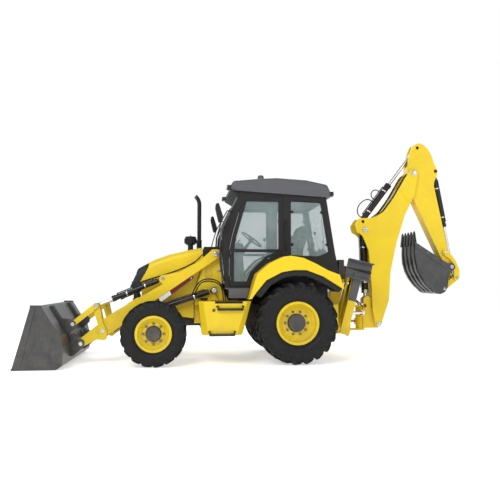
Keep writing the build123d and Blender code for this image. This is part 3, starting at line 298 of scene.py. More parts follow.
def lamp_set(name):
    """Black housings whose faces are lenses: white at the roof, red and amber at the tail."""
    s = Shader(name)
    ribs = (s.y * 700.0).math("SINE")
    ribs = ribs * 0.5 + 0.5
    # Faces of the roof's lamps at the front and at the rear, then those of the tail lamps
    white = ((s.x > 0.5035) + (s.x < -1.2145) * (s.z > 2.6)).held()
    tail = (s.x < -1.3725) * (s.z < 2.0)
    base = s.blend(s.noise(20.0) * 0.5, (0.012, 0.012, 0.013), (0.025, 0.025, 0.026))
    base = s.blend(white, base, (0.70, 0.71, 0.70))
    base = s.blend(tail, base, s.blend(s.z > 1.535, (0.42, 0.012, 0.008), (0.80, 0.22, 0.01)))
    shown = (white + tail).held()
    return s.set(Base_Color=base, Roughness=(0.45 - shown * 0.33), Normal=s.bump(ribs * shown, 0.35, 0.002))


# --- Mesh helpers -------------------------------------------------------------

MM = 0.001
UP = (0, 0, 1)
BEVELLED_ANGLE = 0.6
SMOOTHED_ANGLE = math.radians(35)

# Finishes by name, filled by library()
LIBRARY = {}


def span(sign, near, far):
    """Low and high place in Y of what lies between two distances on one side."""
    return sorted((sign * near, sign * far))


def to_mesh(name, bm, finish, body, slot=None, bevel=0.0):
    """Turns a bmesh into a finished piece that rides on a body, with its sharp edges bevelled in metres."""
    if bevel:
        edges = [e for e in bm.edges if len(e.link_faces) == 2 and e.calc_face_angle(0) > BEVELLED_ANGLE]
        bmesh.ops.bevel(bm, geom=edges, offset=bevel, segments=2, profile=0.6, affect="EDGES")
    bmesh.ops.recalc_face_normals(bm, faces=bm.faces)
    mesh = bpy.data.meshes.new(name)
    bm.to_mesh(mesh)
    bm.free()
    return place(name, mesh, finish, body, slot)


def place(name, mesh, finish, body, slot=None):
    """Links a mesh as a piece on a body; the finish is a name from the library or a material of its own."""
    piece = bpy.data.objects.new(name, mesh)
    bpy.context.scene.collection.objects.link(piece)
    mesh.materials.clear()
    mesh.materials.append(LIBRARY.get(finish, finish))
    for polygon in mesh.polygons:
        polygon.use_smooth = True
    mesh.set_sharp_from_angle(angle=SMOOTHED_ANGLE)
    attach(piece, body)
    return piece


def add_loft(bm, sections):
    """Adds a closed solid through sections of as many points each, in metres."""
    rings = [[bm.verts.new(point) for point in section] for section in sections]
    count = len(rings[0])
    bm.faces.new(rings[0])
    bm.faces.new(list(reversed(rings[-1])))
    for first, second in zip(rings, rings[1:]):
        for i in range(count):
            j = (i + 1) % count
            bm.faces.new((first[i], second[i], second[j], first[j]))


def add_prism(bm, outline, low, high, axis="y"):
    """Adds a plate with an outline in two axes, between two places on the third, in millimetres."""
    def corner(a, b, c):
        return Vector({"y": (a, c, b), "x": (c, a, b), "z": (a, b, c)}[axis]) * MM

    add_loft(bm, [[corner(a, b, c) for a, b in outline] for c in (low, high)])


def add_block(bm, low, high):
    add_prism(bm, [(low[0], low[2]), (high[0], low[2]), (high[0], high[2]), (low[0], high[2])], low[1], high[1])


def add_turned(bm, profile, origin, axis, steps=32):
    """Adds a solid turned from (along, radius) points about an axis through an origin, in millimetres."""
    axis = Vector(axis).normalized()
    side = axis.orthogonal().normalized()
    other = axis.cross(side)
    rings = []
    for along, radius in profile:
        rings.append([bm.verts.new((Vector(origin) + axis * along
                                    + (side * math.cos(t) + other * math.sin(t)) * radius) * MM)
                      for t in (2 * math.pi * k / steps for k in range(steps))])
    for first, second in zip(rings, rings[1:]):
        for k in range(steps):
            m = (k + 1) % steps
            bm.faces.new((first[k], first[m], second[m], second[k]))
    bm.faces.new(list(reversed(rings[0])))
    bm.faces.new(rings[-1])


def turned(name, finish, body, *shapes, **finishing):
    """A piece made of turned solids, each given as add_turned takes it."""
    bm = bmesh.new()
    for shape in shapes:
        add_turned(bm, *shape)
    return to_mesh(name, bm, finish, body, **finishing)


def plates(name, finish, body, shapes, signs=(1, -1), **finishing):
    """A piece made of plates: each an outline and the two distances from the middle that it fills on each side."""
    bm = bmesh.new()
    for sign in signs:
        for outline, near, far in shapes:
            add_prism(bm, outline, *span(sign, near, far))
    return to_mesh(name, bm, finish, body, **finishing)


def sweep(name, points, radius, finish, body, slot=None, closed=False):
    """A round tube along a smooth line through control points in millimetres, as a plain mesh."""
    curve = bpy.data.curves.new(name, "CURVE")
    curve.dimensions = "3D"
    curve.bevel_depth, curve.bevel_resolution, curve.resolution_u = radius * MM, 3, 10
    curve.use_fill_caps = True
    spline = curve.splines.new("NURBS")
    spline.points.add(len(points) - 1)
    for point, target in zip(spline.points, points):
        point.co = (*(Vector(target) * MM), 1.0)
    spline.order_u = 3
    spline.use_endpoint_u = not closed
    spline.use_cyclic_u = closed
    holder = bpy.data.objects.new(name, curve)
    bpy.context.scene.collection.objects.link(holder)
    mesh = bpy.data.meshes.new_from_object(holder.evaluated_get(bpy.context.evaluated_depsgraph_get()))
    bpy.data.objects.remove(holder)
    return place(name, mesh, finish, body, slot)


def strip(line, width):
    """Outline of a flat band of even width that follows an (a, b) line."""
    left, right = [], []
    for k, (a, b) in enumerate(line):
        before, after = line[max(k - 1, 0)], line[min(k + 1, len(line) - 1)]
        run = Vector((after[0] - before[0], after[1] - before[1])).normalized()
        left.append((a - run.y * width / 2, b + run.x * width / 2))
        right.append((a + run.y * width / 2, b - run.x * width / 2))
    return left + right[::-1]


def add_rod(bm, start, end, radius, steps=14):
    """Adds a round bar with slightly rounded ends."""
    start, end = Vector(start), Vector(end)
    length = (end - start).length
    add_turned(bm, [(-0.6 * radius, 0.5 * radius), (0, radius), (length, radius),
                    (length + 0.6 * radius, 0.5 * radius)], start, end - start, steps)


def add_bolt(bm, at, normal, radius=9.0):
    """Adds a hexagon head on a washer, sunk a little into what it holds."""
    add_turned(bm, [(-1, 1.6 * radius), (0.25 * radius, 1.6 * radius), (0.35 * radius, 1.45 * radius)], at, normal, 20)
    add_turned(bm, [(0, radius), (0.9 * radius, radius), (1.1 * radius, 0.82 * radius)], at, normal, 6)


def add_pin_head(bm, at, normal, radius):
    """Adds a pin's capped head with its grease nipple and the bolt that keeps it."""
    at, normal = Vector(at), Vector(normal)
    add_turned(bm, [(-1, 1.3 * radius), (5, 1.3 * radius), (7, 1.22 * radius)], at, normal)
    add_turned(bm, [(5, 0.95 * radius), (12, 0.95 * radius), (14, 0.85 * radius), (14, 0.5 * radius),
                    (11, 0.42 * radius)], at, normal)
    add_turned(bm, [(8, 4), (15, 4), (16, 2.5), (19, 3), (20, 1.5)], at, normal, 10)
    add_bolt(bm, at + Vector((0, 0, -1.12 * radius)) + normal * 5, normal, 4.5)


def beside(base, eye, along, across):
    """Place in X and Z beside a cylinder: along from its base, across to its left."""
    start, end = Vector(base), Vector(eye)
    run = (end - start).normalized()
    return start + run * along + Vector((-run.y, run.x)) * across


# --- Geometry Nodes for what repeats ------------------------------------------


def node_tree(name, inputs, given=False):
    """An empty tree with named number inputs, one geometry output and, if given, a geometry input."""
    tree = bpy.data.node_groups.new(name, "GeometryNodeTree")
    tree.interface.new_socket("Geometry", in_out="OUTPUT", socket_type="NodeSocketGeometry")
    if given:
        tree.interface.new_socket("Geometry", in_out="INPUT", socket_type="NodeSocketGeometry")
    for label, default in inputs.items():
        kind = "NodeSocketInt" if isinstance(default, int) else "NodeSocketFloat"
        tree.interface.new_socket(label, in_out="INPUT", socket_type=kind).default_value = default
    entry, leave = tree.nodes.new("NodeGroupInput"), tree.nodes.new("NodeGroupOutput")
    return tree, entry, leave


def maths(tree, operation, *values):
    """The result socket of a Math node fed with numbers or sockets."""
    made = tree.nodes.new("ShaderNodeMath")
    made.operation = operation
    for socket, value in zip(made.inputs, values):
        if isinstance(value, bpy.types.NodeSocket):
            tree.links.new(value, socket)
        else:
            socket.default_value = value
    return made.outputs[0]


def scatter(tree, leave, points, instance, material, rotation=None):
    """Ends a tree: the instance on every point, made real and given its material."""
    link = tree.links.new
    spread, real, paint = (tree.nodes.new("GeometryNode" + kind)
                           for kind in ("InstanceOnPoints", "RealizeInstances", "SetMaterial"))
    paint.inputs["Material"].default_value = material
    link(points, spread.inputs["Points"])
    link(instance, spread.inputs["Instance"])
    if rotation:
        link(rotation, spread.inputs["Rotation"])
    link(spread.outputs["Instances"], real.inputs[0])
    link(real.outputs[0], paint.inputs["Geometry"])
    link(paint.outputs[0], leave.inputs[0])
    return tree


def ring_of_nuts(material):
    """Hexagon nuts with washers on a circle in the XY plane, facing +Z."""
    tree, entry, leave = node_tree("ring_of_nuts", {"Count": 8, "Ring Radius": 0.15, "Nut Radius": 0.016,
                                                    "Nut Height": 0.02})
    new, link, given = tree.nodes.new, tree.links.new, entry.outputs
    circle, join = new("GeometryNodeMeshCircle"), new("GeometryNodeJoinGeometry")
    link(given["Count"], circle.inputs["Vertices"])
    link(given["Ring Radius"], circle.inputs["Radius"])
    # The nut, then its wider and thinner washer
    for corners, wide, high in ((6, 1.0, 1.0), (20, 1.35, 0.35)):
        disc = new("GeometryNodeMeshCylinder")
        disc.inputs["Vertices"].default_value = corners
        link(maths(tree, "MULTIPLY", given["Nut Radius"], wide), disc.inputs["Radius"])
        link(maths(tree, "MULTIPLY", given["Nut Height"], high), disc.inputs["Depth"])
        link(disc.outputs["Mesh"], join.inputs[0])
    return scatter(tree, leave, circle.outputs["Mesh"], join.outputs[0], material)


def lug_pattern(material):
    """Copies of the given lug turned about the Y axis at an even pitch."""
    tree, entry, leave = node_tree("lug_pattern", {"Count": 17, "Phase": 0.0}, given=True)
    new, link, given = tree.nodes.new, tree.links.new, entry.outputs
    dots, index, spin = new("GeometryNodePoints"), new("GeometryNodeInputIndex"), new("ShaderNodeCombineXYZ")
    link(given["Count"], dots.inputs["Count"])
    pitch = maths(tree, "DIVIDE", 2 * math.pi, given["Count"])
    shifted = maths(tree, "ADD", index.outputs[0], given["Phase"])
    link(maths(tree, "MULTIPLY", shifted, pitch), spin.inputs["Y"])
    return scatter(tree, leave, dots.outputs[0], given["Geometry"], material, spin.outputs[0])


def row_of_bars(material):
    """Square bars spaced along X, each lying along Y."""
    tree, entry, leave = node_tree("row_of_bars", {"Count": 8, "Spacing": 0.03, "Length": 0.5, "Width": 0.01,
                                                   "Height": 0.01})
    new, link, given = tree.nodes.new, tree.links.new, entry.outputs
    line, bar = new("GeometryNodeMeshLine"), new("GeometryNodeMeshCube")
    step, size = new("ShaderNodeCombineXYZ"), new("ShaderNodeCombineXYZ")
    link(given["Count"], line.inputs["Count"])
    link(given["Spacing"], step.inputs["X"])
    link(step.outputs[0], line.inputs["Offset"])
    for label, axis in (("Width", "X"), ("Length", "Y"), ("Height", "Z")):
        link(given[label], size.inputs[axis])
    link(size.outputs[0], bar.inputs["Size"])
    return scatter(tree, leave, line.outputs["Mesh"], bar.outputs["Mesh"], material)


def grid_of_studs(material):
    """Small round studs on a grid in the XY plane."""
    tree, entry, leave = node_tree("grid_of_studs", {"Columns": 7, "Rows": 16, "Pitch": 0.018, "Stud Radius": 0.004})
    new, link, given = tree.nodes.new, tree.links.new, entry.outputs
    grid, stud = new("GeometryNodeMeshGrid"), new("GeometryNodeMeshCylinder")
    stud.inputs["Vertices"].default_value, stud.inputs["Depth"].default_value = 8, 0.002
    for count, axis in (("Columns", "X"), ("Rows", "Y")):
        gaps = maths(tree, "SUBTRACT", given[count], 1.0)
        link(maths(tree, "MULTIPLY", gaps, given["Pitch"]), grid.inputs[f"Size {axis}"])
        link(given[count], grid.inputs[f"Vertices {axis}"])
    link(given["Stud Radius"], stud.inputs["Radius"])
    return scatter(tree, leave, grid.outputs["Mesh"], stud.outputs["Mesh"], material)


def grown(tree, placements, base=None, **values):
    """Plain mesh data made by a tree once for each placement matrix, joined into one bmesh."""
    holder = bpy.data.objects.new("holder", base or bpy.data.meshes.new("holder"))
    bpy.context.scene.collection.objects.link(holder)
    modifier = holder.modifiers.new("grow", "NODES")
    modifier.node_group = tree
    for item in tree.interface.items_tree:
        if item.in_out == "INPUT" and item.name in values:
            modifier[item.identifier] = values[item.name]
    mesh = bpy.data.meshes.new_from_object(holder.evaluated_get(bpy.context.evaluated_depsgraph_get()))
    bpy.data.objects.remove(holder)
    bm = bmesh.new()
    for placement in placements:
        copy = mesh.copy()
        copy.transform(placement)
        bm.from_mesh(copy)
        bpy.data.meshes.remove(copy)
    bpy.data.meshes.remove(mesh)
    return bm


def facing(origin, normal, turn=0.0):
    """Matrix that puts local +Z on a normal at an origin."""
    turned = Vector(normal).to_track_quat("Z", "Y").to_matrix().to_4x4()
    return Matrix.Translation(Vector(origin)) @ turned @ Matrix.Rotation(turn, 4, "Z")


# --- Finishes of the CAD nodes ------------------------------------------------


SEAM_BLACK = (0.01, 0.01, 0.01)
HUB_GREY = (0.045, 0.045, 0.046)
PAD_GREY = (0.075, 0.075, 0.078)
LIP_GREY = (0.16, 0.16, 0.165)
PAD_DEPTH = 0.1105


def library():
    """Makes the finishes once the settings are known."""
    look = bpy.context.scene.loader_look
    yellow, black, grey = tuple(look.body_colour), (0.008, 0.008, 0.009), (0.13, 0.13, 0.135)
    LIBRARY.update(
        yellow=painted("body_enamel", yellow, scuffs=0.15),
        arm_yellow=painted("arm_enamel", yellow, roughness=0.36, scuffs=0.35, dust=0.45),
        tank_yellow=painted("tank_enamel", yellow, scuffs=0.15, zones=(
            # Front of the tank, and the tread's recess on its top
            (black, lambda s: beyond(s, 1.0505)),
            (black, lambda s: (s.z > 0.9385) * beyond(s, 0.9845) * (s.x > 0.29) * (s.x < 0.71)))),
        black=painted("black_enamel", black, roughness=0.34, dust=0.2, coat=0.0),
        frame_black=painted("frame_enamel", black, roughness=0.4, dust=0.5, zones=((yellow, lambda s: s.x < -1.2),)),
        cab_black=painted("cab_enamel", (0.011, 0.011, 0.012), roughness=0.4, dust=0.12, coat=0.0, zones=(
            (grey, lambda s: (s.z < 1.1705) * (s.x > 0.15)),)),
        cylinder_black=painted("cylinder_enamel", (0.007, 0.007, 0.008), roughness=0.24, dust=0.12, coat=0.15),
        roof_grey=moulded("roof_skin", tuple(look.roof_colour), roughness=0.42, grain=0.1, scale=500.0),
        grille=moulded("grille_plastic", (0.018, 0.018, 0.019), roughness=0.45),
        steel=steel_grey("bucket_steel", zones=(
            # Seam between the side wall and its leaning front edge
            (SEAM_BLACK, lambda s: (s.x + s.z * 0.225 > 3.479) * (s.x + s.z * 0.225 < 3.486) * beyond(s, 1.1485)),)),
        dig_steel=steel_grey("dig_bucket_steel", zones=(
            # Teeth, and the lip that holds them
            (black, lambda s: (s.z > 1.975) * (s.x > -2.79)),
            (LIP_GREY, lambda s: (s.z > 1.885) * (s.z < 1.975) * (s.x > -2.79)))),
        chrome=plated("rod_chrome"),
        glass=pane("tinted_glass"),
        cast=cast("axle_casting"),
        engine=cast("engine_casting", (0.03, 0.03, 0.03)),
        red=painted("strut_enamel", (0.13, 0.006, 0.004), roughness=0.45, coat=0.0, dust=0.1),
        white=painted("plate_white", (0.75, 0.75, 0.73), roughness=0.4, dust=0.3),
        plastic=moulded("black_plastic", (0.012, 0.012, 0.013)),
        trim_grey=moulded("trim_plastic", (0.10, 0.10, 0.105), roughness=0.45),
        lamps=lamp_set("lamp_lenses"),
        cloth=woven("seat_cloth", (0.06, 0.06, 0.065)),
        clear_lens=lens("clear_lens", (0.75, 0.75, 0.72)),
        amber_lens=lens("amber_lens", (0.85, 0.23, 0.01)),
        hose=moulded("hose_rubber", (0.014, 0.014, 0.014), roughness=0.4, grain=0.1),
        zinc=plated("zinc_plate", (0.62, 0.62, 0.60)),
        nut=plated("dull_zinc", (0.16, 0.15, 0.13)),
    )


def stabilizer_paint(name, sign, outer):
    """Yellow leg with a grey ground pad on its outer side."""
    return painted(name, tuple(bpy.context.scene.loader_look.body_colour), roughness=0.36, scuffs=0.3, dust=0.45,
                   zones=((PAD_GREY, lambda s: s.y * sign > outer - PAD_DEPTH),))


def rim_paint(name, centre, hub):
    """Yellow wheel with a dark hub."""
    return painted(name, tuple(bpy.context.scene.loader_look.body_colour), scuffs=0.2, dust=0.5,
                   zones=((HUB_GREY, lambda s: from_axis(s, centre[0], centre[2]) < hub),))


# Eyes of the rods, as X and Z
ROD_EYES = {"lift_rods": (1.995, 0.705), "tilt_rods": (2.520, 0.901), "boom_rod": (-1.946, 0.969),
            "dipper_rod": (-2.890, 3.625), "dig_rod": (-3.560, 1.340)}

NODE_FINISH = {
    "yellow": ("hood", "side_panels", "loader_tower", "rear_fenders"),
    "tank_yellow": ("step_boxes",),
    "arm_yellow": ("loader_arms", "bellcrank", "bucket_links", "boom", "dipper", "swing_post", "rocker", "dig_link"),
    "black": ("exhaust_stack", "precleaner"),
    "frame_black": ("chassis_frame",),
    "cab_black": ("cab_frame", "door_left", "door_right"),
    "cylinder_black": ("lift_barrels", "tilt_barrels", "boom_barrel", "dipper_barrel", "dig_barrel", "swing_barrels",
                       "stabilizer_barrel_left", "stabilizer_barrel_right"),
    "roof_grey": ("cab_roof",),
    "grille": ("grille",),
    "steel": ("loader_bucket",),
    "dig_steel": ("dig_bucket",),
    "chrome": ("swing_rod_left", "swing_rod_right", "stabilizer_rod_left", "stabilizer_rod_right"),
    "glass": ("cab_glass", "door_glass_left", "door_glass_right"),
    "cast": ("axles", "knuckle_left", "knuckle_right"),
    "engine": ("powertrain",),
    "red": ("arm_lock_strut",),
    "lamps": ("lamps",),
    "plastic": ("operator_station",),
}


class LoaderLook(bpy.types.PropertyGroup):
    """Colours and studio settings."""

    body_colour: bpy.props.FloatVectorProperty(
        name="Body Colour", description="Enamel of the bodywork and arms", subtype="COLOR", size=3,
        default=(0.79, 0.56, 0.008), min=0.0, max=1.0)
    roof_colour: bpy.props.FloatVectorProperty(
        name="Roof Colour", description="Moulded roof skin", subtype="COLOR", size=3,
        default=(0.085, 0.085, 0.09), min=0.0, max=1.0)
    sky_strength: bpy.props.FloatProperty(
        name="Sky Strength", description="Even light from all round", default=0.6, min=0.0)
    floor_glow: bpy.props.FloatProperty(
        name="Floor Glow", description="Light that the floor gives off, so that it meets the white behind",
        default=0.47, min=0.0)
    camera_lens: bpy.props.FloatProperty(
        name="Camera Lens", description="Focal length in millimetres on a 36 mm sensor", default=40.764, min=10.0)
    camera_place: bpy.props.FloatVectorProperty(
        name="Camera Place", description="Where the camera stands", subtype="TRANSLATION", size=3,
        default=(1.1309, 9.5735, 1.2461))
    camera_yaw: bpy.props.FloatProperty(
        name="Camera Yaw", description="Turn of the camera towards the rear", subtype="ANGLE", default=0.110772)
    camera_pitch: bpy.props.FloatProperty(
        name="Camera Pitch", description="Upward tilt of the camera", subtype="ANGLE", default=0.058382)


class LOADER_OT_stage(bpy.types.Operator):
    """Sets the floor, the lights, the background and the camera"""

    bl_idname = "loader.stage"
    bl_label = "Stage"

    def execute(self, context):
        scene, look = context.scene, context.scene.loader_look
        scene.view_settings.view_transform = "Standard"
        camera = bpy.data.objects.new("camera", bpy.data.cameras.new("camera"))
        scene.collection.objects.link(camera)
        camera.data.sensor_width, camera.data.lens = 36.0, look.camera_lens
        camera.data.clip_end = 200.0
        yaw, pitch = look.camera_yaw, look.camera_pitch
        forward = Vector((-math.sin(yaw) * math.cos(pitch), -math.cos(yaw) * math.cos(pitch), math.sin(pitch)))
        right = Vector((-math.cos(yaw), math.sin(yaw), 0.0))
        upward = right.cross(forward)
        turn = Matrix((right, upward, -forward)).transposed().to_4x4()
        camera.matrix_world = Matrix.Translation(Vector(look.camera_place)) @ turn
        scene.camera = camera

        floor_mesh, reach = bpy.data.meshes.new("floor"), 60.0
        floor_mesh.from_pydata([(-reach, -reach, 0), (reach, -reach, 0), (reach, reach, 0), (-reach, reach, 0)], [],
                               [(0, 1, 2, 3)])
        floor = bpy.data.objects.new("floor", floor_mesh)
        scene.collection.objects.link(floor)
        pale = Shader("floor_paint")
        pale.set(Base_Color=(0.96, 0.96, 0.96), Roughness=1.0, Specular_IOR_Level=0.0,
                 Emission_Color=(1.0, 1.0, 1.0), Emission_Strength=look.floor_glow)
        floor_mesh.materials.append(pale.material)

        world = bpy.data.worlds.new("studio")
        scene.world = world
        world.use_nodes = True
        tree = world.node_tree
        rays = tree.nodes.new("ShaderNodeLightPath")
        shown, lit, mixed = (tree.nodes["Background"], tree.nodes.new("ShaderNodeBackground"),
                             tree.nodes.new("ShaderNodeMixShader"))
        for background, colour, strength in ((shown, (1, 1, 1, 1), 1.0),
                                             (lit, (0.93, 0.96, 1.0, 1), look.sky_strength)):
            background.inputs["Color"].default_value = colour
            background.inputs["Strength"].default_value = strength
        tree.links.new(rays.outputs["Is Camera Ray"], mixed.inputs[0])
        tree.links.new(lit.outputs[0], mixed.inputs[1])
        tree.links.new(shown.outputs[0], mixed.inputs[2])
        tree.links.new(mixed.outputs[0], tree.nodes["World Output"].inputs["Surface"])

        lamps = (
            # name, place, aim, size, power
            ("key", (5.0, 9.0, 8.0), (0.0, 0.0, 1.0), 5.0, 600.0),
            ("fill", (-7.0, 7.0, 5.0), (0.0, 0.0, 1.2), 6.0, 150.0),
            ("back", (0.0, -8.0, 7.0), (0.0, 0.0, 1.5), 6.0, 300.0),
        )
        for name, spot, aim, size, power in lamps:
            light = bpy.data.lights.new(name, "AREA")
            light.size, light.energy = size, power
            lamp = bpy.data.objects.new(name, light)
            scene.collection.objects.link(lamp)
            lamp.location = spot
            lamp.rotation_mode = "QUATERNION"
            lamp.rotation_quaternion = (Vector(aim) - Vector(spot)).to_track_quat("-Z", "Y")
        return {"FINISHED"}


class LOADER_OT_finishes(bpy.types.Operator):
    """Gives each CAD node its finish"""

    bl_idname = "loader.finishes"
    bl_label = "Finishes"

    def execute(self, context):
        library()
        given = {}
        for finish, names in NODE_FINISH.items():
            given.update({name: LIBRARY[finish] for name in names})
        for axle in ("front", "rear"):
            for side in SIDES:
                name = f"tyre_{axle}_{side}"
                low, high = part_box(name)
                given[name] = rubber(name + "_rubber", (Vector(low) + Vector(high)) / 2,
                                     (Vector(high) - Vector(low)).z / 2)
        for name, eye in ROD_EYES.items():
            given[name] = plated(name + "_chrome", eye=eye)
        for side, sign in SIDES.items():
            low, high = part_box(f"stabilizer_leg_{side}")
            given[f"stabilizer_leg_{side}"] = stabilizer_paint(f"stabilizer_{side}_enamel", sign,
                                                               high[1] if sign > 0 else -low[1])
            for axle, hub in (("front", 0.121), ("rear", 0.144)):
                low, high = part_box(f"rim_{axle}_{side}")
                given[f"rim_{axle}_{side}"] = rim_paint(f"rim_{axle}_{side}_enamel",
                                                        (Vector(low) + Vector(high)) / 2, hub)
        for name, piece in NODES.items():
            if not piece.data.materials:
                piece.data.materials.append(given[name])
            for socket in range(len(piece.material_slots)):
                piece.material_slots[socket].material = given[name]
        return {"FINISHED"}


def tyre_section(width, radius, rim):
    """Half outline of a tyre's carcass as (across, radius), from the bead to the tread's middle."""
    bead, height, depth = 0.36 * width, radius - rim + 25, 0.14 * (radius - rim)
    return [(bead - 12, rim - 24), (bead - 12, rim + 2), (bead + 6, rim + 7), (bead + 8, rim + 18),
            (0.455 * width, rim + 0.13 * height), (0.486 * width, rim + 0.24 * height),
            (0.499 * width, rim + 0.36 * height), (0.494 * width, rim + 0.5 * height),
            (0.472 * width, radius - 0.3 * height), (0.452 * width, radius - 0.17 * height - depth),
            (0.40 * width, radius - 0.04 * height - depth), (0.2 * width, radius - depth), (0.0, radius - depth)]


def lug_mesh(width, radius, rim, flank):
    """One slanted lug at the top of a tyre, from the tread's middle out over a shoulder."""
    height, slant, lead = radius - rim + 25, math.tan(math.radians(40)), 0.19 * width
    sections = []
    # Shares of the width across, of the height down to the top and to the foot, then half thicknesses of both
    for across, top, foot, thin, thick in ((-0.02, 0, 0.20, 17, 27), (0.16, 0, 0.21, 20, 30),
                                           (0.40, 0.02, 0.24, 24, 34), (0.47, 0.10, 0.32, 26, 36),
                                           (0.497, 0.22, 0.40, 26, 34)):
        y = across * width
        forward = lead - abs(y) * slant
        corners = []
        for reach, half in ((foot, -thick), (top, -thin), (top, thin), (foot, thick)):
            level, place = radius - reach * height, (forward + half) / radius
            corners.append(Vector((level * math.sin(place), flank * y, level * math.cos(place))) * MM)
        sections.append(corners)
    bm = bmesh.new()
    add_loft(bm, sections)
    bmesh.ops.bevel(bm, geom=bm.edges[:], offset=3.5 * MM, segments=1, affect="EDGES")
    bmesh.ops.recalc_face_normals(bm, faces=bm.faces)
    mesh = bpy.data.meshes.new("lug")
    bm.to_mesh(mesh)
    bm.free()
    return mesh


class LOADER_OT_tyres(bpy.types.Operator):
    """Tyres with slanted lugs, in place of their plain CAD rings"""

    bl_idname = "loader.tyres"
    bl_label = "Tyres"

    def execute(self, context):
        for axle, lugs in (("front", 17), ("rear", 20)):
            for side in SIDES:
                name = f"tyre_{axle}_{side}"
                low, high = (Vector(corner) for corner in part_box(name))
                centre, width, radius = (low + high) / 2, (high.y - low.y) / MM, (high.z - low.z) / 2 / MM
                rim_low, rim_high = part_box(f"rim_{axle}_{side}")
                rim = (rim_high[2] - rim_low[2]) / 2 / MM
                rubber_finish = NODES[name].material_slots[0].material
                tree = lug_pattern(rubber_finish)
                bm = bmesh.new()
                for flank, phase in ((1, 0.0), (-1, 0.5)):
                    part = grown(tree, [Matrix.Translation(centre)], base=lug_mesh(width, radius, rim, flank),
                                 Count=lugs, Phase=phase)
                    spare = bpy.data.meshes.new("spare")
                    part.to_mesh(spare)
                    bm.from_mesh(spare)
                    bpy.data.meshes.remove(spare)
                    part.free()
                half = tyre_section(width, radius, rim)
                outline = half + [(-across, level) for across, level in half[-2::-1]]
                steps = 96
                rings = []
                for k in range(steps):
                    turn = 2 * math.pi * k / steps
                    rings.append([bm.verts.new(centre + Vector((level * math.sin(turn), across,
                                                                level * math.cos(turn))) * MM)
                                  for across, level in outline])
                count = len(outline)
                for k in range(steps):
                    first, second = rings[k], rings[(k + 1) % steps]
                    for i in range(count):
                        j = (i + 1) % count
                        bm.faces.new((first[i], second[i], second[j], first[j]))
                piece = to_mesh(name + "_tread", bm, rubber_finish, f"wheel_{axle}_{side}", "tyre_rubber")
                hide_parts(name)
        return {"FINISHED"}


class LOADER_OT_wheels(bpy.types.Operator):
    """Nuts and valves of the four wheels"""

    bl_idname = "loader.wheels"
    bl_label = "Wheels"

    def execute(self, context):
        tree = ring_of_nuts(LIBRARY["nut"])
        for axle, count, ring in (("front", 8, 0.15), ("rear", 10, 0.178)):
            for side, sign in SIDES.items():
                low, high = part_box(f"tyre_{axle}_{side}")
                centre = (Vector(low) + Vector(high)) / 2
                width = high[1] - low[1]
                face = centre + Vector((0, sign * (0.08 * width + 0.006), 0))
                bm = grown(tree, [facing(face, (0, sign, 0))], **{"Count": count, "Ring Radius": ring,
                                                                  "Nut Radius": 0.015, "Nut Height": 0.03})
                to_mesh(f"nuts_{axle}_{side}", bm, "nut", f"wheel_{axle}_{side}")
                rim_low, rim_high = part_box(f"rim_{axle}_{side}")
                rim_radius = (rim_high[2] - rim_low[2]) / 2
                bm = bmesh.new()
                valve = (centre + Vector((0.62 * rim_radius, sign * 0.1 * width, 0.35 * rim_radius))) / MM
                add_turned(bm, [(-8, 7), (10, 7), (12, 4.5), (34, 4.5), (36, 3)], valve, (0.25, sign, 0.14), 12)
                to_mesh(f"valve_{axle}_{side}", bm, "plastic", f"wheel_{axle}_{side}", "tyre_rubber")
        return {"FINISHED"}


def cushion(name, outline, half_width, steps=18):
    bm = bmesh.new()
    add_prism(bm, outline, -half_width, half_width)
    bmesh.ops.bevel(bm, geom=bm.edges[:], offset=22 * MM, segments=3, profile=0.6, affect="EDGES")
    piece = to_mesh(name, bm, "cloth", "chassis")
    remesh = piece.modifiers.new("even", "REMESH")
    remesh.mode, remesh.voxel_size = "VOXEL", 6 * MM
    cloth = piece.modifiers.new("blown", "CLOTH")
    settings = cloth.settings
    settings.use_pressure, settings.uniform_pressure_force = True, 4.0
    settings.effector_weights.gravity = 0.0
    settings.tension_stiffness = settings.compression_stiffness = 60.0
    scene = bpy.context.scene
    for frame in range(1, steps):
        scene.frame_set(frame)
    mesh = bpy.data.meshes.new_from_object(piece.evaluated_get(bpy.context.evaluated_depsgraph_get()))
    piece.modifiers.clear()
    piece.data = mesh
    for polygon in mesh.polygons:
        polygon.use_smooth = True
    scene.frame_set(1)


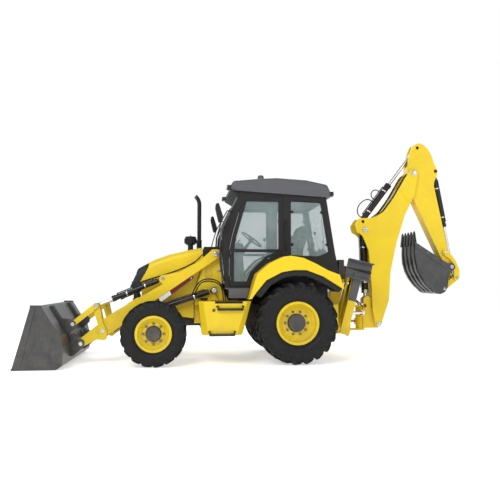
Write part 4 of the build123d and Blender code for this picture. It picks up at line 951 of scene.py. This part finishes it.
class LOADER_OT_seat(bpy.types.Operator):
    """The operator's chair and the dash, in place of their CAD stand-in"""

    bl_idname = "loader.seat"
    bl_label = "Seat"

    def execute(self, context):
        cushion("seat_cushion", [(-690, 1752), (-372, 1752), (-352, 1790), (-372, 1826), (-690, 1810)], 222)
        cushion("back_cushion", [(-742, 1822), (-668, 1822), (-690, 1960), (-772, 2215), (-850, 2215), (-815, 2010)],
                212)
        bm = bmesh.new()
        # Bellows of the suspension, seat pan, back shell and arm rests
        for k in range(7):
            waist = 12 if k % 2 else 0
            z = 1512 + 27 * k
            add_block(bm, (-840 + waist, -115 + waist, z), (-410 - waist, 115 - waist, z + 26))
        add_block(bm, (-850, -120, 1500.5), (-400, 120, 1512))
        add_prism(bm, [(-800, 1702), (-400, 1702), (-352, 1725), (-345, 1758), (-800, 1758)], -246, 246)
        add_prism(bm, [(-800, 1758), (-742, 1758), (-815, 2010), (-850, 2215), (-870, 2236), (-905, 2228),
                       (-872, 2000)], -236, 236)
        for sign in SIDES.values():
            low, high = span(sign, 252, 300)
            add_prism(bm, [(-800, 1975), (-490, 1998), (-470, 2016), (-490, 2032), (-805, 2026)], low, high)
            add_prism(bm, [(-850, 1960), (-790, 1960), (-790, 2010), (-850, 2010)], *span(sign, 228, 262))
        seat = to_mesh("seat_frame", bm, "plastic", "chassis", bevel=5 * MM)
        # Dash with its hood and the column cover
        column = [(170, 1241), (330, 1241), (352, 1700), (345, 1890), (290, 1935), (205, 1905), (150, 1800),
                  (196, 1690)]
        hood = [(345, 1700), (480, 1700), (488, 1760), (440, 1800), (345, 1830)]
        dash = plates("dash", "trim_grey", "chassis", [(column, -112, 112), (hood, -330, 330)], (1,), bevel=14 * MM)
        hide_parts("operator_station")
        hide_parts("operator_station")
        return {"FINISHED"}


class LOADER_OT_controls(bpy.types.Operator):
    """Steering wheel, levers, pedals and rear consoles"""

    bl_idname = "loader.controls"
    bl_label = "Controls"

    def execute(self, context):
        centre, axis = Vector((38, 0, 1988)), Vector((-0.6, 0, 0.8))
        along, radius, count = Vector((0.8, 0, 0.6)), 204.0, 16
        ring = [centre + (along * math.cos(t) + Vector((0, 1, 0)) * math.sin(t)) * radius
                for t in (2 * math.pi * k / count for k in range(count))]
        sweep("steering_rim", ring, 14, "plastic", "chassis", closed=True)
        bm = bmesh.new()
        add_turned(bm, [(-235, 30), (-120, 26), (-60, 22), (-34, 44), (-12, 48), (6, 40), (12, 26)], centre, axis)
        to_mesh("steering_hub", bm, "plastic", "chassis")
        for number, angle in enumerate((math.pi, math.pi / 3, -math.pi / 3)):
            out = along * math.cos(angle) + Vector((0, 1, 0)) * math.sin(angle)
            sweep(f"steering_spoke_{number}", [centre - axis * 14 + out * 30, centre - axis * 12 + out * 110,
                                               centre + out * 200], 9, "plastic", "chassis")
        levers = {
            # name: foot, top, knob radius
            "shuttle": ((215, 60, 1890), (338, 235, 1958), 21),
            "throttle": ((255, -90, 1900), (230, -230, 1985), 16),
            "loader": ((-250, -330, 1520), (-230, -345, 2010), 26),
            "boom_left": ((-1090, 255, 1790), (-1010, 235, 2080), 27),
            "boom_right": ((-1090, -255, 1790), (-1010, -235, 2080), 27),
            "stabilizer_a": ((-1130, 320, 1790), (-1120, 335, 1930), 14),
            "stabilizer_b": ((-1130, -320, 1790), (-1120, -335, 1930), 14),
        }
        for name, (foot, top, knob) in levers.items():
            foot, top = Vector(foot), Vector(top)
            run = (top - foot).normalized()
            bend = foot + (top - foot) * 0.55 + Vector((18, 0, 10))
            sweep(f"lever_{name}", [foot, bend, top], 6, "zinc", "chassis")
            bm = bmesh.new()
            add_turned(bm, [(-knob, 0.35 * knob), (-0.8 * knob, 0.7 * knob), (0, knob), (0.7 * knob, 0.86 * knob),
                            (1.1 * knob, 0.45 * knob)], top, run, 20)
            add_turned(bm, [(-4, 26), (12, 22), (26, 13), (38, 9)], foot, run, 20)
            to_mesh(f"knob_{name}", bm, "plastic", "chassis")
        bm = bmesh.new()
        for sign in SIDES.values():
            add_prism(bm, [(-1190, 1470), (-1010, 1470), (-1030, 1760), (-1060, 1800), (-1160, 1800)],
                      *span(sign, 190, 370))
        add_prism(bm, [(-330, 1501), (-160, 1501), (-175, 1560), (-320, 1575)], -400, -285)
        to_mesh("rear_consoles", bm, "trim_grey", "chassis", bevel=12 * MM)
        # Pedals hung under the dash
        bm = bmesh.new()
        for y in (-300, -215, 215):
            add_prism(bm, [(205, 1340), (262, 1400), (255, 1410), (196, 1350)], y - 38, y + 38)
            add_prism(bm, [(240, 1385), (375, 1600), (390, 1715), (376, 1715), (362, 1605), (230, 1392)], y - 6, y + 6)
        to_mesh("pedals", bm, "plastic", "chassis", bevel=2 * MM)
        return {"FINISHED"}


class LOADER_OT_cab(bpy.types.Operator):
    """Handles, rails, latches, mirror glasses, post covers, seals, wipers, visor, roof ribs and lamp rims"""

    bl_idname = "loader.cab"
    bl_label = "Cab"

    def execute(self, context):
        latches = bmesh.new()
        for side, sign in SIDES.items():
            # Door handle: recessed plate, pull and lock barrel
            bm = bmesh.new()
            low, high = span(sign, 719, 724)
            add_prism(bm, [(-372, 1722), (-255, 1722), (-250, 1736), (-255, 1772), (-372, 1772)], low, high)
            low, high = span(sign, 724, 742)
            add_prism(bm, [(-362, 1754), (-268, 1750), (-268, 1762), (-362, 1768)], low, high)
            add_turned(bm, [(-2, 11), (8, 11), (10, 8)], (-352, sign * 724, 1737), (0, sign, 0), 20)
            to_mesh(f"door_handle_{side}", bm, "plastic", f"door_{side}", bevel=1.5 * MM)
            # Inner grab bar of the door
            sweep(f"door_grab_{side}", [(330, sign * 690, 1750), (322, sign * 650, 1752), (60, sign * 645, 1752),
                                        (-180, sign * 650, 1752), (-190, sign * 690, 1750)], 10, "plastic",
                  f"door_{side}")
            for x, z in ((452, 1305), (452, 1335), (452, 1705), (452, 1735)):
                bm = bmesh.new()
                add_bolt(bm, (x, sign * 736, z), (0, sign, 0), 5)
                to_mesh(f"hinge_bolt_{side}_{z}", bm, "nut", f"door_{side}")
            # Latches of the rear side windows, hinges at their front edge
            for x, z in ((-1096, 1860), (-1012, 2380), (-530, 1860), (-530, 2380)):
                add_turned(latches, [(-2, 24), (7, 24), (10, 20), (16, 13), (18, 9)], (x, sign * 701, z),
                           (0, sign, 0), 24)
            # Mirror glass
            glass = [(590, 2213), (586, 2262), (636, 2420), (649, 2452), (646, 2454), (632, 2423), (581, 2263),
                     (586, 2212)]
            plates(f"mirror_glass_{side}", "chrome", "chassis", [(glass, 812, 948)], (sign,))
            # Hand rail on the front post and the one behind the door
            sweep(f"front_rail_{side}", [(548, sign * 716, 1290), (560, sign * 764, 1300), (618, sign * 768, 1520),
                                         (618, sign * 768, 1760), (604, sign * 764, 1900), (590, sign * 712, 1905)],
                  11, "plastic", "chassis")
            sweep(f"rear_rail_{side}", [(-425, sign * 716, 1760), (-425, sign * 760, 1775), (-425, sign * 764, 2000),
                                        (-425, sign * 760, 2225), (-425, sign * 716, 2240)], 11,
                  "plastic", "chassis")
            # Grey cover of the front post
            cover = strip([(556, 1240), (612, 1560), (616, 1800), (600, 2070), (446, 2410), (352, 2600)], 26)
            plates(f"post_cover_{side}", "trim_grey", "chassis", [(cover, 640, 716)], (sign,), slot="roof_plastic",
                   bevel=4 * MM)
        to_mesh("window_latches", latches, "plastic", "chassis")
        # Rubber seals round the side panes
        pane_edge = [(-505, 2555), (-998, 2535), (-1124, 1742), (-958, 1666), (-505, 1686), (-505, 2555)]
        plates("window_seals", "hose", "chassis", [(strip(pane_edge, 16), 700.5, 706)])
        # Wipers of the windscreen and of the rear window
        for name, foot, knee, tip, top in (("front", (527, -60, 1262), (566, -150, 1500), (578, -240, 1730),
                                            (566, -300, 2010)),
                                           ("rear", (-1212, 40, 1772), (-1200, 90, 1900), (-1170, 160, 2060),
                                            (-1128, 220, 2330))):
            sweep(f"wiper_arm_{name}", [foot, knee, tip], 6, "plastic", "chassis")
            low, high = Vector(knee).lerp(Vector(tip), 0.2), Vector(top)
            sweep(f"wiper_blade_{name}", [low, tip, high], 5, "hose", "chassis")
        # Roof: visor band, hatch ribs, lens rims
        visor = [(318, 2640), (448, 2716), (452, 2734), (300, 2704)]
        plates("visor", "plastic", "chassis", [(visor, -700, 700)], (1,), bevel=4 * MM)
        rib = [(-700, 2893), (-270, 2918), (-10, 2900), (180, 2884), (180, 2893), (-10, 2910), (-270, 2928),
               (-700, 2904)]
        plates("roof_ribs", "roof_grey", "chassis", [(rib, y - 22, y + 22) for y in (-560, -280, 0, 280, 560)], (1,),
               bevel=3 * MM)
        bm = bmesh.new()
        lenses = bmesh.new()
        for sign in SIDES.values():
            for x, z, facing_x in ((505, 2767.5, 1), (-1215, 2685, -1)):
                for y in (595, 665):
                    add_turned(lenses, [(-3, 27), (4, 26), (8, 20), (10, 8)], (x, sign * y, z), (facing_x, 0, 0), 24)
                    add_turned(bm, [(-2, 31), (5, 31), (6, 28), (1, 27)], (x, sign * y, z), (facing_x, 0, 0), 24)
        to_mesh("lamp_rims", bm, "plastic", "chassis")
        to_mesh("lamp_lenses", lenses, "clear_lens", "chassis")
        return {"FINISHED"}


class LOADER_OT_forms(bpy.types.Operator):
    """Mirrors, arch liners, sills, beacon and the bars of the nose"""

    bl_idname = "loader.forms"
    bl_label = "Forms"

    def execute(self, context):
        head = [(600, 2192), (612, 2184), (642, 2183), (655, 2196), (701, 2395), (697, 2455), (684, 2470), (662, 2472),
                (648, 2460), (592, 2270), (591, 2240)]
        stay = [(405, 705, 2374), (512, 800, 2374), (600, 822, 2214), (680, 822, 1943), (690, 800, 1800),
                (575, 700, 1770)]
        liner = [(100, 1080), (-60, 1283), (-175, 1350), (-300, 1408), (-390, 1432), (-489, 1440), (-679, 1440),
                 (-800, 1398), (-933, 1344), (-1236, 1156), (-1190, 1110), (-905, 1262), (-780, 1318), (-665, 1356),
                 (-495, 1356), (-400, 1346), (-330, 1326), (-225, 1272), (-130, 1212), (20, 1030)]
        sill = [(484, 1060), (484, 1170), (155, 1170), (190, 1060)]
        tread = [(484, 1013), (484, 1156), (160, 1156), (206, 1013)]
        stays = bmesh.new()
        for sign in SIDES.values():
            corners = [(x, sign * y, z) for x, y, z in stay]
            for start, end in zip(corners, corners[1:]):
                add_rod(stays, start, end, 9)
        plates("mirror_heads", "plastic", "chassis", [(head, 800, 958)], bevel=9 * MM)
        to_mesh("mirror_stays", stays, "black", "chassis")
        plates("arch_liners", "plastic", "chassis", [(liner, 661, 1080)], bevel=6 * MM)
        plates("door_sills", "trim_grey", "chassis", [(sill, 640, 719), (tread, 690, 800)], slot="roof_plastic",
               bevel=8 * MM)
        beacon = {
            # finish, height of its foot, (along, radius) of its wall
            "base": ("plastic", 2918, [(-20, 62), (14, 62), (22, 56), (34, 52)]),
            "lens": ("amber_lens", 2950, [(-4, 50), (10, 54), (84, 50)]),
            "cap": ("trim_grey", 3034, [(-2, 50), (2, 54), (36, 52), (52, 44), (60, 30), (62, 12)]),
        }
        for part, (finish, foot, wall) in beacon.items():
            turned(f"beacon_{part}", finish, "chassis", (wall, (-119, 0, foot), UP, 40))
        slope = Vector((1891 - 2027, 0, 1488 - 1189)).normalized()
        frame = Matrix((slope, (0, -1, 0), slope.cross((0, -1, 0)))).transposed().to_4x4()
        places = [Matrix.Translation(Vector((2010, sign * 152, 1226)) * MM) @ frame for sign in SIDES.values()]
        bm = grown(row_of_bars(LIBRARY["grille"]), places,
                   **{"Count": 8, "Spacing": 0.031, "Length": 0.276, "Width": 0.013, "Height": 0.016})
        to_mesh("grille_bars", bm, "grille", "hood")
        return {"FINISHED"}


class LOADER_OT_bodywork(bpy.types.Operator):
    """Seams, cowl, perforated patches, latches, headlamps, exhaust tip and cap of the air intake"""

    bl_idname = "loader.bodywork"
    bl_label = "Bodywork"

    def execute(self, context):
        latches, caps = bmesh.new(), bmesh.new()
        seam_line = [(886, 1707), (936, 1652), (992, 1600), (1070, 1551), (1158, 1506), (1298, 1447), (1420, 1405),
                     (1554, 1363), (1700, 1319), (1846, 1271)]
        for sign in SIDES.values():
            # Hood latch on the tower's rear edge, with its strike
            add_prism(latches, [(580, 1434), (668, 1434), (676, 1443), (668, 1452), (580, 1452)],
                      *span(sign, 457, 470))
            add_turned(latches, [(-1, 13), (6, 13), (9, 9)], (600, sign * 470, 1443), (0, sign, 0), 20)
            # Lock of the tank's lid
            add_turned(caps, [(-6, 24), (6, 24), (9, 20), (9, 11), (5, 9)], (728, sign * 1050, 838), (0, sign, 0), 28)
        plates("hood_seam", "hose", "chassis", [(strip(seam_line, 15), 397, 402)])
        plates("tower_seam", "hose", "chassis", [(strip([(923, 1433), (960, 1320), (993, 1186)], 9), 457, 460.5),
                                                 (strip([(720, 1172), (640, 1010), (610, 975)], 9), 469, 472)])
        to_mesh("side_latches", latches, "zinc", "chassis", bevel=2 * MM)
        to_mesh("tank_locks", caps, "nut", "chassis")
        # Fillers between the tower and the side panels
        filler = [(872, 980), (1019, 980), (1019, 1560), (992, 1584), (936, 1636), (890, 1688), (872, 1688)]
        plates("side_fillers", "yellow", "chassis", [(filler, 386, 398.5)], bevel=1.5 * MM)
        # Cowl between the hood and the windscreen
        cowl = [(612, 1640), (628, 1776), (668, 1835), (856, 1834), (866, 1812), (872, 1640)]
        plates("cowl", "plastic", "chassis", [(cowl, -396, 396)], (1,), bevel=8 * MM)
        # Perforated panels of the tower
        tree = grid_of_studs(LIBRARY["nut"])
        turn = Matrix.Rotation(math.radians(90), 4, "X")
        places = [Matrix.Translation(Vector((0.782, sign * 0.4585, 1.395))) @ turn for sign in SIDES.values()]
        bm = grown(tree, places, **{"Columns": 7, "Rows": 16, "Pitch": 0.018, "Stud Radius": 0.0042})
        to_mesh("tower_perforation", bm, "nut", "chassis", "dark_paint")
        # Headlamps in the nose
        rims, glasses, radius, aim = bmesh.new(), bmesh.new(), 34, (2.2, 0, 1)
        for sign in SIDES.values():
            spot = (1913, sign * 330, 1440)
            add_turned(rims, [(-14, radius + 14), (6, radius + 12), (8, radius + 6), (2, radius + 2)], spot, aim, 36)
            add_turned(glasses, [(-4, radius), (5, radius), (9, 0.8 * radius), (11, 0.4 * radius)], spot, aim, 36)
        to_mesh("headlamp_rims", rims, "plastic", "hood")
        to_mesh("headlamp_glasses", glasses, "clear_lens", "hood")
        # Mouth of the exhaust and clamp round its sleeve
        bend, bend_radius, pipe_x, pipe_y = math.radians(50), 190, 925, -200
        tip = Vector((pipe_x + bend_radius - bend_radius * math.cos(bend), pipe_y, 2600 + bend_radius * math.sin(bend)))
        out = Vector((math.sin(bend), 0, math.cos(bend)))
        bm = bmesh.new()
        add_turned(bm, [(-26, 37.5), (1, 37.5), (1, 31), (-1, 29)], tip, out)
        for z in (1850, 1972):
            add_turned(bm, [(0, 44.5), (0, 48), (11, 48), (11, 44.5)], (pipe_x, pipe_y, z), UP)
        to_mesh("exhaust_rings", bm, "nut", "chassis", "dark_paint")
        turned("exhaust_mouth", "hose", "chassis", ([(0.5, 29), (1.5, 29)], tip, out), slot="dark_paint")
        # Fins and wing nut of the air intake
        tree = ring_of_nuts(LIBRARY["plastic"])
        bm = grown(tree, [facing((1.075, 0.06, 1.948), (0, 0, 1))], **{"Count": 28, "Ring Radius": 0.099,
                                                                        "Nut Radius": 0.0042, "Nut Height": 0.076})
        to_mesh("intake_fins", bm, "plastic", "hood")
        turned("intake_cap", "plastic", "hood",
               ([(0, 92), (6, 88), (10, 70), (12, 16), (24, 12), (27, 8)], (1075, 60, 2014), UP))
        # Blank plate on the stowed strut and its lock pin
        plate = [(1400, 1124), (1568, 1011), (1541, 942), (1373, 1067)]
        plates("strut_plate", "white", "loader_arms", [(plate, 553.5, 558)], (1,), bevel=1.5 * MM)
        bm = bmesh.new()
        add_pin_head(bm, (1062, 554, 1325), (0, 1, 0), 12)
        to_mesh("strut_pin", bm, "zinc", "loader_arms")
        return {"FINISHED"}


class LOADER_OT_steps(bpy.types.Operator):
    """Toothed treads, brackets and grip mats of the steps, and the tank's filler"""

    bl_idname = "loader.steps"
    bl_label = "Steps"

    def execute(self, context):
        tree = row_of_bars(LIBRARY["plastic"])
        for side, sign in SIDES.items():
            places = []
            brackets = bmesh.new()
            for x_low, x_high, z in ((300, 660, 865), (425, 780, 485)):
                places.append(Matrix.Translation(Vector((x_low + 16, sign * 1080, z + 3)) * MM))
                for x in (x_low, x_high):
                    out = 1 if x == x_high else -1
                    add_prism(brackets, [(x, z - 28), (x + out * 14, z - 28), (x + out * 14, z + 44), (x, z + 52)],
                              *span(sign, 1032, 1104))
                    add_bolt(brackets, (x + out * 24, sign * 1049, z + 30), (0, sign, 0), 7)
            bm = grown(tree, places, **{"Count": 13, "Spacing": 0.027, "Length": 0.046, "Width": 0.01,
                                        "Height": 0.012})
            to_mesh(f"step_teeth_{side}", bm, "plastic", "chassis")
            to_mesh(f"step_brackets_{side}", brackets, "black", "chassis", bevel=2 * MM)
            # Grip mat on the top of the box
            mat = grown(row_of_bars(LIBRARY["plastic"]),
                        [Matrix.Translation(Vector((0.24, sign * 0.88, 0.9725)))],
                        **{"Count": 22, "Spacing": 0.024, "Length": 0.19, "Width": 0.008, "Height": 0.006})
            to_mesh(f"step_mat_{side}", mat, "plastic", "chassis")
        turned("filler_cap", "plastic", "chassis",
               ([(-4, 46), (14, 46), (18, 58), (40, 58), (46, 50)], (860, 620, 968), UP), bevel=1.5 * MM)
        return {"FINISHED"}


class LOADER_OT_pins(bpy.types.Operator):
    """Heads of the linkage's pins, the boom's bosses, the arms' rest pads and the ground pads' ribs"""

    bl_idname = "loader.pins"
    bl_label = "Pins"

    def execute(self, context):
        # body: x, z, outer face, radius of each pin
        pins = {
            "chassis": ((675, 1710, 580, 34), (701, 1134, 573, 31)),
            "loader_arms": ((1508, 1318, 560, 24), (1995, 722, 560, 22)),
            "bellcrank": ((2415, 512, 595, 26),),
            "bucket_links": ((2520, 901, 635, 24),),
            "loader_bucket": ((2858, 622, 665, 22), (2748, 317, 590, 24)),
            "swing_post": ((-2132, 545, 158, 32),),
            "boom": ((-1912, 2165, 160, 34), (-2801, 3167, 160, 38)),
            "dipper": ((-3349, 1783, 137, 22),),
            "rocker": ((-3560, 1340, 131, 20),),
            "dig_bucket": ((-3456, 1533, 161, 25), (-3312, 1149, 161, 20)),
        }
        painted_pins = {
            "boom": ((-1873, 2303, 150, 20),),
            "dipper": ((-2890, 3625, 100, 20), (-3215, 3216, 104, 22)),
        }
        for kind, finish, table in (("pin_heads", "zinc", pins), ("painted_pins", "black", painted_pins)):
            for body, heads in table.items():
                bm = bmesh.new()
                for x, z, face, radius in heads:
                    for sign in SIDES.values():
                        add_pin_head(bm, (x, sign * face, z), (0, sign, 0), radius)
                to_mesh(f"{kind}_{body}", bm, finish, body)
        bm = bmesh.new()
        for x, z, radius in ((-1912, 2165, 56), (-2801, 3167, 66)):
            for sign in SIDES.values():
                add_turned(bm, [(-2, radius), (7, radius), (10, radius - 4)], (x, sign * 150, z), (0, sign, 0), 40)
        # Doubler plates round the boom's head
        for sign in SIDES.values():
            add_prism(bm, [(-2530, 2890), (-2690, 3165), (-2735, 3215), (-2801, 3240), (-2860, 3210), (-2872, 3160),
                           (-2812, 2830), (-2725, 2672), (-2690, 2660)], *span(sign, 149, 156))
        to_mesh("boom_bosses", bm, "arm_yellow", "boom", bevel=1.5 * MM)
        # Rest pads on the loader's arms, low enough for the tilt cylinders to pass at full dump
        pad = [(1878, 1014), (2062, 906), (2060, 918), (2036, 938), (1896, 1022)]
        plates("arm_pads", "arm_yellow", "loader_arms", [(pad, 484, 546)], bevel=5 * MM)
        # Tapered rib across each ground pad, in the leg's leaning plane
        lean, foot = math.radians(13), Vector((-1393, 560, 480))
        for side, sign in SIDES.items():
            bm = bmesh.new()
            sections = []
            for across, deep, half in ((-196, 78, 26), (196, 10, 8)):
                corners = []
                for out, up in ((150, 997 - half), (150 + deep, 997), (150, 997 + half)):
                    corners.append(Vector((foot.x - up * math.sin(lean) + across * math.cos(lean),
                                           sign * (foot.y + out),
                                           foot.z + up * math.cos(lean) + across * math.sin(lean))) * MM)
                sections.append(corners)
            add_loft(bm, sections)
            to_mesh(f"pad_rib_{side}", bm, "steel", f"stabilizer_leg_{side}", bevel=3 * MM)
        return {"FINISHED"}


class LOADER_OT_hydraulics(bpy.types.Operator):
    """Glands, feed pipes and clamp bands of the cylinders, hoses and steel lines"""

    bl_idname = "loader.hydraulics"
    bl_label = "Hydraulics"

    def execute(self, context):
        # barrel: base, eye, radius, distances of the bands from the base, places across, length, side of the pipe
        cylinders = {
            "lift_barrels": ((701, 1134), (1995, 705), 44, (330, 820), (515, -515), 1100, 1),
            "tilt_barrels": ((1508, 1318), (2520, 901), 42, (300, 600), (515, -515), 840, 1),
            "boom_barrel": ((-1912, 2165), (-1946, 969), 60, (300, 900), (0,), 1090, 1),
            "dipper_barrel": ((-1873, 2303), (-2890, 3625), 52, (240, 700), (0,), 851, -1),
            "dig_barrel": ((-3215, 3216), (-3560, 1340), 44, (300, 820), (0,), 993, -1),
        }
        for body, (base, eye, radius, stations, across, length, turn) in cylinders.items():
            pipe, bands, out = bmesh.new(), bmesh.new(), (radius + 12) * turn
            run = (Vector(eye) - Vector(base)).normalized()
            axis = (run.x, 0, run.y)
            for y in across:
                # Gland at the barrel's mouth, then the pipe with its two elbows
                spot = beside(base, eye, length - 60, 0)
                add_turned(pipe, [(-2, radius + 2), (0, radius + 6), (56, radius + 6), (59.5, radius + 3)],
                           (spot.x, y, spot.y), axis, 36)
                ends = []
                for station in (150, length - 100):
                    foot, top = beside(base, eye, station, 0.8 * radius * turn), beside(base, eye, station, out)
                    add_rod(pipe, (foot.x, y, foot.y), (top.x, y, top.y), 12)
                    ends.append((top.x, y, top.y))
                add_rod(pipe, *ends, 8)
            to_mesh(f"pipes_{body}", pipe, "zinc" if body == "boom_barrel" else "cylinder_black", body,
                    "cylinder_black")
            for station in stations:
                spot = beside(base, eye, station, 0)
                for y in across:
                    add_turned(bands, [(-11, radius + 0.6), (-11, radius + 3), (-8, radius + 4), (8, radius + 4),
                                       (11, radius + 3), (11, radius + 0.6)], (spot.x, y, spot.y), axis, 36)
            to_mesh(f"bands_{body}", bands, "zinc", body)

        # The hoses lie on the side away from the pipe
        base, eye = cylinders["dipper_barrel"][:2]
        loops = {"upper": ((640, 48), (650, 120), (560, 176), (468, 120), (475, 48)),
                 "lower": ((430, 48), (440, 135), (300, 205), (150, 190), (70, 90), (90, 40))}
        for name, line in loops.items():
            points = []
            for station, out in line:
                spot = beside(base, eye, station, -out)
                points.append((spot.x, 12 if name == "upper" else -12, spot.y))
            sweep(f"dipper_hose_{name}", points, 9, "hose", "dipper_barrel")
        for side, sign in SIDES.items():
            for number, (y, drop) in enumerate(((586, 0), (612, 34))):
                sweep(f"lift_hose_{side}_{number}",
                      [(1046 - drop, sign * 545, 1066), (1030 - drop, sign * y, 1130 - drop),
                       (925, sign * y, 1290 - drop), (765, sign * y, 1322 - drop), (600, sign * y, 1262 - drop),
                       (528 + drop, sign * y, 1080), (522 + drop, sign * y, 962)], 10, "hose", "chassis")
        # Hoses into the swing post, hoses along the boom's front edges, and steel lines at the boom's foot
        for number, y in enumerate((-84, -62, 62, 84)):
            sweep(f"post_hose_{number}", [(-1510, y, 905), (-1580, y, 960), (-1700, y, 985), (-1800, y, 930),
                                          (-1872, y * 0.9, 845), (-1905, y * 0.8, 800)], 9, "hose",
                  "chassis")
        for number, y in enumerate((-137, -113, 113, 137)):
            sweep(f"boom_hose_{number}", [(-2085, y, 2360), (-2112, y, 2398), (-2172, y, 2440), (-2234, y, 2490),
                                          (-2318, y, 2600), (-2410, y, 2724), (-2496, y, 2868), (-2584, y, 3016),
                                          (-2656, y, 3136), (-2690, y, 3150)], 11, "hose", "boom")
        for number, y in enumerate((-95, 95)):
            sweep(f"boom_line_{number}", [(-2070, y, 900), (-2050, y, 1050), (-2020, y, 1290), (-1996, y, 1330)], 8,
                  "zinc", "boom")
        return {"FINISHED"}


class LOADER_OT_buckets(bpy.types.Operator):
    """Ribs, wear strips, teeth and bolts of the two buckets"""

    bl_idname = "loader.buckets"
    bl_label = "Buckets"

    def execute(self, context):
        # Stops at the top corners, and ribs that carry the links' lugs up the back
        stop = [(3196, 903), (3202, 926), (3360, 928), (3364, 903)]
        rib = [(2925, 484), (2884, 505), (3040, 738), (3150, 908), (3203, 900), (3090, 712)]
        plates("loader_bucket_ribs", "steel", "loader_bucket", [(stop, 1128, 1149), (rib, 587, 605), (rib, 651, 669)],
               bevel=2 * MM)
        bm = bmesh.new()
        for sign in SIDES.values():
            add_prism(bm, [(-2738, 1940), (-3340, 1560), (-3297, 1488), (-2736, 1846)],
                      *span(sign, 304, 313))
        for y in (-250, -85, 85, 250):
            add_prism(bm, [(-2723, 1900), (-2716, 1750), (-2724, 1600), (-2763, 1452), (-2828, 1325), (-2910, 1216),
                           (-3050, 1086), (-3058, 1098), (-2922, 1234), (-2845, 1333), (-2781, 1460), (-2742, 1604),
                           (-2736, 1750), (-2743, 1900)], y - 26, y + 26)
        to_mesh("dig_bucket_strips", bm, "steel", "dig_bucket", bevel=2 * MM)
        bm = bmesh.new()
        for k in range(5):
            y = (k - 2) * 130
            add_prism(bm, [(-2704, 1892), (-2714, 1985), (-2763, 1985), (-2774, 1892)], y - 36, y + 36)
            add_loft(bm, [[Vector((x, y + across, z)) * MM for x, across in
                           ((-2738 - deep, -wide), (-2738 + deep, -wide), (-2738 + deep, wide), (-2738 - deep, wide))]
                          for z, deep, wide in ((1970, 26, 33), (2060, 16, 30), (2102, 11, 28.5), (2135, 5, 12))])
        to_mesh("dig_teeth", bm, "black", "dig_bucket", "bucket_steel", bevel=2 * MM)
        bm = bmesh.new()
        for k in range(12):
            add_bolt(bm, (3520, -1045 + 190 * k, 29), (0, 0, 1), 13)
        for sign in SIDES.values():
            for share in (0.1, 0.3, 0.5, 0.7, 0.9):
                add_bolt(bm, (3440 - 200 * share, sign * 1130, 60 + 800 * share), (0, -sign, 0), 9)
        to_mesh("loader_edge_bolts", bm, "nut", "loader_bucket", "bucket_steel")
        bm = bmesh.new()
        for sign in SIDES.values():
            for share in (0.12, 0.37, 0.62, 0.87):
                add_bolt(bm, (-2750 - 560 * share, sign * 313, 1898 - 366 * share), (0, sign, 0), 10)
        for k in range(5):
            y = (k - 2) * 130
            for sign in SIDES.values():
                add_turned(bm, [(-1, 9), (5, 9), (7, 6)], (-2741, y + sign * 36, 1940), (0, sign, 0), 16)
        to_mesh("dig_edge_bolts", bm, "nut", "dig_bucket", "bucket_steel")
        return {"FINISHED"}


class LOADER_PT_panel(bpy.types.Panel):
    """Lists the loader's parts and settings"""

    bl_label = "Backhoe Loader"
    bl_idname = "LOADER_PT_panel"
    bl_space_type = "VIEW_3D"
    bl_region_type = "UI"
    bl_category = "Loader"

    def draw(self, context):
        for key in LoaderLook.__annotations__:
            self.layout.prop(context.scene.loader_look, key)
        for operator in OPERATORS:
            self.layout.operator(operator.bl_idname)


OPERATORS = (LOADER_OT_stage, LOADER_OT_finishes, LOADER_OT_tyres, LOADER_OT_wheels, LOADER_OT_seat,
             LOADER_OT_controls, LOADER_OT_cab, LOADER_OT_forms, LOADER_OT_bodywork, LOADER_OT_steps, LOADER_OT_pins,
             LOADER_OT_hydraulics, LOADER_OT_buckets)
CLASSES = (LoaderLook, *OPERATORS, LOADER_PT_panel)


def register():
    for kind in CLASSES:
        bpy.utils.register_class(kind)
    bpy.types.Scene.loader_look = bpy.props.PointerProperty(type=LoaderLook)


def unregister():
    del bpy.types.Scene.loader_look
    for kind in reversed(CLASSES):
        bpy.utils.unregister_class(kind)


def main():
    register()
    for operator in OPERATORS:
        group, name = operator.bl_idname.split(".")
        getattr(getattr(bpy.ops, group), name)()


if __name__ == "__main__":
    main()
